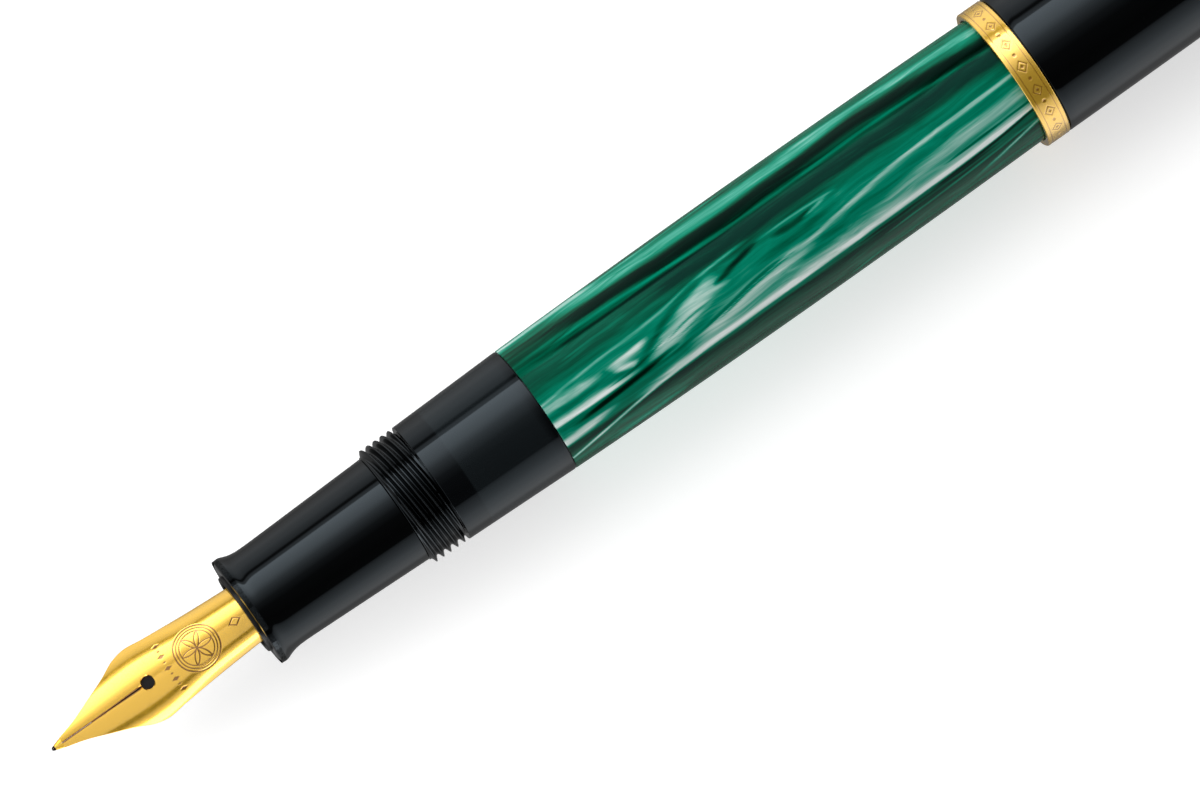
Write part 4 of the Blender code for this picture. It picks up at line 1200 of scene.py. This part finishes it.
        hidden = sleeve_front + self.posted_cap
        stations = np.concatenate([
            np.linspace(sleeve_front + 0.06, hidden, 212),
            np.linspace(hidden, sleeve_end - 0.12, 22)[1:],
        ])
        behind, length, belly = stations - sleeve_front, sleeve_end - sleeve_front, self.belly
        widest = pen.radius("barrel_sleeve")
        front_radius, tail_radius = self.sleeve_bore + self.front_wall, self.sleeve_bore + self.tail_wall
        # Two parabolas that meet at the belly.
        share = np.where(behind < belly, 1 - behind / belly, (behind - belly) / (length - belly))
        drop = np.where(behind < belly, widest - front_radius, widest - tail_radius)
        outline = Outline().line([(sleeve_front, self.sleeve_bore), (sleeve_front, front_radius - 0.05)])
        outline.line(np.column_stack([stations, widest - drop * share**2]))
        outline.line([(sleeve_end - 0.04, tail_radius - 0.03), (sleeve_end, tail_radius - 0.12),
                      (sleeve_end, self.sleeve_bore)])
        surface = outline.turned(self.steps)
        side = surface.values["turn"] * 360
        surface.values = {"pearl": self.pearl(surface.values["station"] - sleeve_front, side)}
        add_piece(pen, "marbled_barrel", surface, MARBLED, Body.BARREL, ["barrel_sleeve"])


# ---------------------------------------------------------------- filling knob
@dataclass
class FillingKnob:
    """The knob on its threaded stem, and the plated ring under it."""

    pen: PenFrame
    taper: float = 0.4
    dome: float = 2.1
    stem: float = 3.9
    bore: float = 2.9
    socket: float = 1.58
    socket_depth: float = 3.3

    def build(self) -> None:
        """Makes the knob and its ring."""
        pen = self.pen
        seat = pen.span("knob_ring")[1] + 0.1
        start, end = pen.span("knob")
        spindle_end = pen.span("spindle")[1]
        radius, stem, bore, socket = pen.radius("knob"), self.stem, self.bore, self.socket
        add_ring(pen, "knob_trim_ring", "knob_ring", Body.KNOB_RING, stem + 0.1, 0.16)

        floor = spindle_end - self.socket_depth
        inside = [(spindle_end + 0.1, 0), (spindle_end + 0.1, socket), (floor, socket), (floor, bore),
                  (start + 0.1, bore), (start, bore + 0.1), (start, stem - 0.15)]
        thread = Thread(start + 0.1, pen.span("barrel_sleeve")[1] - 0.4, -0.28, 0.75, 2)
        shoulder = filleted([
            (thread.end + 0.02, stem, 0), (seat, stem, 0.05), (seat, radius, 0.12),
            (end - self.dome - 0.05, radius - self.taper + 0.01, 0)], False)
        angle = np.linspace(math.pi / 2, 0, 22)
        dome = np.column_stack([
            end - self.dome + self.dome * np.cos(angle),
            radius - self.taper - self.dome + self.dome * np.sin(angle),
        ])
        outline = Outline(is_loop=False).line(inside).thread(thread, stem).line(shoulder).line(dome)
        outline.line([(end, 0)])
        add_piece(pen, "piston_knob", outline.turned(), BLACK_RESIN, Body.KNOB, ["knob"], THREAD_SHARP)


# ---------------------------------------------------------------- cap
@dataclass
class Cap:
    """The cap with its band, crown and clip ring."""

    pen: PenFrame
    tube_length: float = 50.0
    taper_power: float = 1.5
    crown_step: float = 0.2
    steps: int = 192
    wall: float = 0.54
    stem_hole: float = 1.95
    thread_offset: float = 16.4  # from the lip to the start of the thread
    thread_length: float = 2.7
    lozenges: int = 18
    band_steps: int = 720
    band_depth: float = 0.03
    lozenge_half: tuple = (0.42, 0.5)
    heart_half: tuple = (0.17, 0.2)
    band_lines: float = 0.68  # from the middle of the band to its fine lines
    line_half: tuple = (0.075, 0.055)
    crown_shoulder: float = 2.6
    disc_ring_pitch: float = 0.66

    def tube_radius(self, station: Numbers) -> Numbers:
        """The tube's radius: widest at the lip, it narrows by a power of the distance from it.

        Args:
            station: stations, in millimetres.

        Returns:
            The radius at each.
        """
        lip = self.pen.span("cap_band")[0]
        widest, narrowest = self.pen.radius("cap_band") - 0.02, self.crown_radius()
        share = np.clip((station - lip) / self.tube_length, 0, 1)
        return widest - (widest - narrowest) * share**self.taper_power

    def crown_radius(self) -> float:
        """The radius of the tube at the crown."""
        return self.pen.radius("crown") + self.crown_step

    def tube(self) -> Surface:
        """The tube: a bore with the cap's thread in it, and a pierced wall at the crown.

        Returns:
            The surface.
        """
        pen = self.pen
        start, end = pen.span("cap_tube")
        lip, band_end = pen.span("cap_band")
        bore = pen.radius("cap_band") - self.wall
        rear_bore = pen.radius("inner_cap") + 0.1
        under_band = pen.radius("cap_band") - 0.3
        thread_start = lip + self.thread_offset
        thread_root = pen.radius("grip_section") + 0.15
        thread = Thread(thread_start, thread_start + self.thread_length, -0.23, 0.675, 4)
        outside = np.linspace(band_end + 0.16, end - 0.1, 60)
        front = [(start, bore + 0.03), (start, under_band), (band_end + 0.1, under_band),
                 (band_end + 0.1, self.tube_radius(band_end) - 0.05)]
        back = [(end, self.crown_radius() - 0.08), (end, self.stem_hole), (end - 1.2, self.stem_hole),
                (end - 1.2, rear_bore), (thread.end + 0.02, rear_bore)]
        outline = Outline().line(front).line(np.column_stack([outside, self.tube_radius(outside)])).line(back)
        outline.thread(thread, thread_root, backwards=True)
        outline.line([(thread_start - 0.02, bore), (start + 0.03, bore)])
        return outline.turned(self.steps)

    def band(self) -> Surface:
        """The band: an angle ring, its face engraved with lozenges and dots between two fine lines.

        A lozenge is where |u| / a + |v| / b < 1, for u along the pen and v round it from its middle.

        Returns:
            The surface, with the engraving marked; the mark also paints brown shade into the engraved lines.
        """
        pen = self.pen
        start, end = pen.span("cap_band")
        radius = pen.radius("cap_band")
        bore, under, edge, step = radius - self.wall, radius - 0.2, 0.12, start + 0.35
        face = np.linspace(start + edge, end - edge, 42)
        arc = np.linspace(0, math.pi / 2, 6)
        reach, rim = edge * (1 - np.sin(arc)), radius - edge * (1 - np.cos(arc))
        front, back = np.column_stack([start + reach, rim])[::-1], np.column_stack([end - reach, rim])
        loop = Outline().line([(end, under), (step, under), (step, bore + 0.02), (start + 0.33, bore),
                               (start + 0.04, bore), (start, bore + 0.06)])
        loop.line(front[:-1]).line(np.column_stack([face, np.full_like(face, radius)])).line(back[1:])
        surface = loop.turned(self.band_steps)
        station, turn = surface.values["station"], surface.values["turn"]
        points = surface.points
        rho = np.hypot(points[:, 1], points[:, 2])
        on_face = rho > radius - 0.01
        u = station - (start + end) / 2
        cell = 2 * math.pi * radius / self.lozenges
        v = ((turn * self.lozenges + 0.5) % 1 - 0.5) * cell
        w = ((turn * self.lozenges) % 1 - 0.5) * cell
        lozenge, heart = (
            1 - np.abs(u) / long - np.abs(v) / wide for long, wide in (self.lozenge_half, self.heart_half))
        dots = np.clip(2.5 * (1 - np.hypot(u, w) / self.heart_half[0]), 0, 1)
        outline = stroke(lozenge * self.lozenge_half[0], self.line_half[0])
        lines = stroke(np.abs(u) - self.band_lines, self.line_half[1]) * 0.8
        marks = np.maximum.reduce([outline, np.clip(4 * heart, 0, 1), dots, lines]) * on_face
        points[:, 1:] *= (1 - self.band_depth * marks / np.maximum(rho, 1e-6))[:, None]
        # The engraving's mark paints brown shade into the lines.
        surface.values = {"engraved": marks}
        return surface

    def crown(self) -> Surface:
        """The crown: a stem through the clip ring, and an elliptic dome with a socket for the disc.

        Returns:
            The surface.
        """
        pen = self.pen
        start, rim = pen.span("crown")
        face = pen.span("clip_ring")[1] + 0.1
        socket = pen.radius("crown_disc") + 0.1
        floor = pen.span("crown_disc")[0] - 0.1
        radius = pen.radius("crown")
        rim_radius, shoulder = socket + 0.4, self.crown_shoulder
        angle = np.linspace(math.pi / 2, 0, 26)
        dome = np.column_stack([
            rim - shoulder + shoulder * np.cos(angle),
            rim_radius + (radius - rim_radius) * np.sin(angle),
        ])
        before = np.array([(start, 0), (start, 1.75), (start + 0.1, 1.85), (face, 1.85), (face, radius - 0.1),
                           (face + 0.1, radius), (face + 0.2, radius)])
        after = [(rim, socket + 0.05), (rim - 0.05, socket), (floor, socket), (floor, 0)]
        return Outline(is_loop=False).line(before).line(dome).line(after).turned(self.steps)

    def disc(self) -> Surface:
        """The plated disc: a shallow dish of rings, the height a cosine of the radius.

        Returns:
            The surface.
        """
        pen = self.pen
        start, end = pen.span("crown_disc")
        radius = pen.radius("crown_disc")
        r = np.linspace(radius - 0.12, 0, 60)
        pitch = self.disc_ring_pitch
        rings = 0.03 * (1 - np.cos(2 * math.pi * r / pitch)) / 2 * (r < 4 * pitch)
        face = np.column_stack([end - rings, r])
        side = [(start, 0), (start, radius), (end - 0.12, radius), (end - 0.04, radius - 0.04)]
        return Outline(is_loop=False).line(side).line(face).turned(self.steps)

    def build(self) -> None:
        """Makes the cap's pieces."""
        pen = self.pen
        add_piece(pen, "cap_shell", self.tube(), BLACK_RESIN, Body.CAP, ["cap_tube"], THREAD_SHARP)
        add_piece(pen, "engraved_cap_band", self.band(), ENGRAVED_GOLD, Body.CAP, ["cap_band"])
        add_piece(pen, "domed_crown", self.crown(), BLACK_RESIN, Body.CAP, ["crown"])
        add_piece(pen, "crown_plate", self.disc(), POLISHED_GOLD, Body.CAP, ["crown_disc"])
        add_ring(pen, "clip_trim_ring", "clip_ring", Body.CAP, self.stem_hole, 0.18)


@dataclass
class Clip:
    """The sprung clip: a tapered arm with a crowned back and a rounded foot that lifts at its end."""

    pen: PenFrame
    cap: Cap
    out: Vector
    length: float = 35.0
    root_half: float = 1.5
    tip_half: float = 1.0
    thickness: float = 0.8
    shoulder: float = 4.0
    rise: float = 1.1
    foot_gap: float = 0.3
    foot_length: float = 3.2
    tip_lift: float = 0.6
    bulb: float = 0.5
    root_swell: float = 1.3
    edge: float = 0.12

    def sections(self) -> np.ndarray:
        """The clip's sections, from root to tip: its gap to the tube and its lift at the tip go as u^2.

        Returns:
            Rows of station, distance of the under side from the axis, thickness and half width.
        """
        ring_start, ring_end = self.pen.span("clip_ring")
        root = (ring_start + ring_end) / 2
        arm = root - self.shoulder
        foot = root - self.length + self.foot_length / 2
        under = self.pen.radius("clip_ring") + 0.1
        rows = [(ring_end, under, self.thickness, self.root_half),
                (ring_start, under, self.root_swell * self.thickness, self.root_half)]
        for u in np.linspace(0, 1, 9):
            station = arm + (foot - arm) * u
            gap = self.rise + (self.foot_gap - self.rise) * u**2
            rows.append((station, self.cap.tube_radius(station) + gap, self.thickness,
                         self.root_half + (self.tip_half - self.root_half) * u))
        for u in (0.35, 0.65, 0.85, 1.0):
            station = foot - self.foot_length / 2 * u
            swell = math.sqrt(max(1 - u**2, 0.1))
            tube = self.cap.tube_radius(station)
            rows.append((station, tube + self.foot_gap + self.tip_lift * u**2,
                         (self.thickness + 4 * self.bulb * u * (1 - u)) * swell, self.tip_half * swell))
        return np.array(rows)

    def build(self) -> None:
        """Makes the clip: sections along the arm, each a flat with a crowned back."""
        rows = self.sections()
        lengths = np.concatenate([[0], np.cumsum(np.hypot(np.diff(rows[:, 0]), np.diff(rows[:, 1])))])
        fine = np.unique(np.concatenate([np.linspace(0, lengths[-1], 150), lengths]))
        station, under, thickness, half = (np.interp(fine, lengths, rows[:, k])[:, None] for k in range(4))
        angle = np.linspace(0, math.pi, 30)[None, :]
        flat = np.tile([-1, -0.7, 0, 0.7, 1], (len(fine), 1)) * (half - self.edge)
        y = np.concatenate([flat, half * np.cos(angle)], axis=1)
        crowned = under + thickness * (0.45 + 0.55 * np.sin(angle))
        h = np.concatenate([np.repeat(under, flat.shape[1], axis=1), crowned], axis=1)
        out = np.array(self.out)
        across = np.cross(out, (1.0, 0.0, 0.0))
        x = np.repeat(station, y.shape[1], axis=1)[..., None] * np.array([1.0, 0.0, 0.0])
        points = x + y[..., None] * across + h[..., None] * out
        add_piece(self.pen, "sprung_clip", lofted(points), POLISHED_GOLD, Body.CLIP, ["clip"])


# ---------------------------------------------------------------- stage
@dataclass
class Studio:
    """A white table, a soft light that changes round the pen's axis, and the camera."""

    pen: PenFrame
    station: float = 51.2
    side: float = -2.3
    frame_width: float = 94.6
    lens: float = 350.0
    lean: float = 5.5
    roll: float = 35.15
    light: tuple = (
        (-180, 0.10), (-148, 0.14), (-134, 0.25), (-122, 0.62), (-108, 0.80), (-92, 0.82), (-80, 0.62),
        (-66, 0.40), (-60.5, 0.22), (-59.0, 0.03), (-40, 0.02), (-14, 0.04), (0, 0.14), (12, 0.45),
        (20, 0.72), (32, 1.5), (40, 1.8), (52, 2.2), (56.5, 2.3), (57.5, 0.65), (63, 0.5), (66, 0.05),
        (70, 0.06), (74, 0.4), (92, 0.62), (112, 0.55), (126, 0.3), (140, 0.14), (180, 0.10),
    )
    brightest: float = 2.5
    strength: float = 1.6
    end_fade: tuple = (0.8, 0.98)
    end_level: float = 0.28
    table_radius: float = 2.6
    wall_bend: float = 0.6
    wall_top: float = 3.0
    table_drop: float = 0.00003
    table_glow: float = 0.62
    wall_glow: float = 0.9
    # A soft card over the nib and one low beside it: angle, distance, brightness, length, breadth, station.
    cards: tuple = (("nib_card", -22, 40, 0.72, 42, 37, 0), ("nib_edge_card", -86, 40, 2.8, 42, 15, 0))

    def camera(self) -> None:
        """Sets the camera nearly overhead, leaning towards the nib, with the pen rising to the right."""
        lean, roll = math.radians(self.lean), math.radians(self.roll)
        along = Vector((math.cos(lean), 0, math.sin(lean)))
        across = Vector((0, 1, 0))
        back = along.cross(across)
        right = math.cos(roll) * along - math.sin(roll) * across
        up = math.sin(roll) * along + math.cos(roll) * across
        data = bpy.data.cameras.new("studio_camera")
        data.sensor_width = 36.0
        data.lens = self.lens
        distance = self.lens / data.sensor_width * self.frame_width * MM
        target = Vector((self.pen.tip_x + self.station * MM, self.side * MM, self.pen.axis_z))
        camera = bpy.data.objects.new("studio_camera", data)
        camera.matrix_world = Matrix.Translation(target + back * distance) @ Matrix(
            (right, up, back)).transposed().to_4x4()
        data.clip_start, data.clip_end = 0.01, 20.0
        bpy.context.scene.collection.objects.link(camera)
        bpy.context.scene.camera = camera

    def world(self) -> None:
        """Lights the scene by a sky that changes with the angle about the pen's axis, even near its ends."""
        world = bpy.data.worlds.new("studio_light")
        bpy.context.scene.world = world
        world.use_nodes = True
        tree = world.node_tree
        way = add_node(tree, "ShaderNodeTexCoord").outputs["Generated"]
        parts = add_node(tree, "ShaderNodeSeparateXYZ", inputs={0: way})
        angle = add_node(tree, "ShaderNodeMath", {"operation": "ARCTAN2"},
                         {0: parts.outputs["Y"], 1: parts.outputs["Z"]})
        share = add_node(tree, "ShaderNodeMapRange", inputs={
            "Value": angle.outputs["Value"], "From Min": -math.pi, "From Max": math.pi})
        stops = [((degrees + 180) / 360, grey(level / self.brightest)) for degrees, level in self.light]
        bands = add_node(tree, "ShaderNodeValToRGB", {"stops": stops}, {"Fac": share.outputs["Result"]})
        endways = add_node(tree, "ShaderNodeMath", {"operation": "ABSOLUTE"}, {0: parts.outputs["X"]})
        low, high = self.end_fade
        fade = add_node(tree, "ShaderNodeMapRange", {"interpolation_type": "SMOOTHSTEP"},
                        {"Value": endways.outputs["Value"], "From Min": low, "From Max": high})
        # Inputs 6 and 7 and output 2 are the colours of a Mix node.
        mixed = add_node(tree, "ShaderNodeMix", {"data_type": "RGBA"}, {
            "Factor": fade.outputs["Result"], 6: bands.outputs["Color"], 7: grey(self.end_level)})
        set_inputs(tree, tree.nodes["Background"], {
            "Color": mixed.outputs[2], "Strength": self.brightest * self.strength})

    def nib_lights(self) -> None:
        """Small cards over and beside the nib, each facing the axis from its angle round it."""
        for name, degrees, distance, radiance, length, breadth, station in self.cards:
            angle = math.radians(degrees)
            out = Vector((0, math.sin(angle), math.cos(angle)))
            along = Vector((1, 0, 0))
            card = bpy.data.lights.new(name, "AREA")
            card.shape = "RECTANGLE"
            card.size, card.size_y = length * MM, breadth * MM
            # A flat lamp of area A that sends out the power P looks as bright as P / (pi A).
            card.energy = radiance * math.pi * card.size * card.size_y
            lamp = bpy.data.objects.new(name, card)
            middle = Vector((self.pen.tip_x + station * MM, 0, self.pen.axis_z))
            lamp.matrix_world = Matrix.Translation(middle + out * distance * MM) @ Matrix(
                (along, out.cross(along), out)).transposed().to_4x4()
            lamp.visible_camera = False
            bpy.context.scene.collection.objects.link(lamp)

    def table(self) -> None:
        """A white table top and a pale wall round it, both as one turned sweep about the upright axis."""
        edge, bend = self.table_radius, self.wall_bend
        wall = np.linspace(0, math.pi / 2, 10)[1:]
        out = np.concatenate([[0.0, 0.4, 1.2, edge], edge + bend * np.sin(wall), [edge + bend]])
        up = np.concatenate([np.zeros(4), bend - bend * np.cos(wall), [self.wall_top]])
        turn = np.linspace(0, 2 * math.pi, 97)[:-1]
        for name, rows, emission in (("table_top", slice(0, 4), self.table_glow),
                                     ("backdrop", slice(3, None), self.wall_glow)):
            r, z = out[rows][:, None], up[rows][:, None]
            points = np.stack([r * np.cos(turn), r * np.sin(turn), z + 0 * turn - self.table_drop], axis=-1)
            mesh = bpy.data.meshes.new(name)
            faces = grid_faces(len(r), len(turn), False)
            mesh.from_pydata(points.reshape(-1, 3).tolist(), [], faces[:, ::-1].tolist())
            mesh.shade_smooth()
            paper = bpy.data.materials.new(name + "_paper")
            paper.use_nodes = True
            set_inputs(paper.node_tree, paper.node_tree.nodes["Principled BSDF"], {
                "Base Color": linear_colour("#d2d2d2"), "Roughness": 0.9, "Specular IOR Level": 0.0,
                "Emission Color": grey(1.0), "Emission Strength": emission,
            })
            mesh.materials.append(paper)
            stage = bpy.data.objects.new(name, mesh)
            stage.visible_glossy = False
            bpy.context.scene.collection.objects.link(stage)
            stage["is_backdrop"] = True
            if name == "backdrop":
                stage.visible_diffuse = False
                stage.visible_shadow = False

    def build(self) -> None:
        """Sets up camera, light and table."""
        self.camera()
        self.world()
        self.nib_lights()
        self.table()
        scene = bpy.context.scene
        scene.view_settings.view_transform = "Standard"
        scene.view_settings.look = "None"


def dress_node(node: str, finish: Finish) -> None:
    """Gives a CAD node that stays visible its finish.

    Args:
        node: the node's name.
        finish: what it is made of.
    """
    for slot in frame["nodes"][node].material_slots:
        slot.material = finish.build()
    LOG.info("%s keeps its solid, with %s", node, finish.name)


def clip_direction() -> Vector:
    """The way out from the axis through the clip: at right angles to the pen and to the clip's hinge."""
    axis = next(Vector(joint["axis"]) for joint in frame["joints"] if joint["name"] == "clip_flex")
    return Vector((1, 0, 0)).cross(axis).normalized()


def main() -> None:
    """Builds every piece round the frame and sets the stage."""
    logging.basicConfig(level=logging.INFO, format="%(name)s: %(message)s")
    pen = PenFrame.read()
    NibUnit(pen).build()
    Grip(pen).build()
    Barrel(pen).build()
    FillingKnob(pen).build()
    cap = Cap(pen)
    cap.build()
    Clip(pen, cap, clip_direction()).build()
    for node, finish in (
        ("piston_housing", POLYMER),
        ("piston_rod", POLYMER),
        ("piston_seal", RUBBER),
        ("spindle", TURNED_STEEL),
        ("inner_cap", POLYMER),
        ("crown_nut", TURNED_BRASS),
    ):
        dress_node(node, finish)
    Studio(pen).build()


if __name__ == "__main__":
    main()
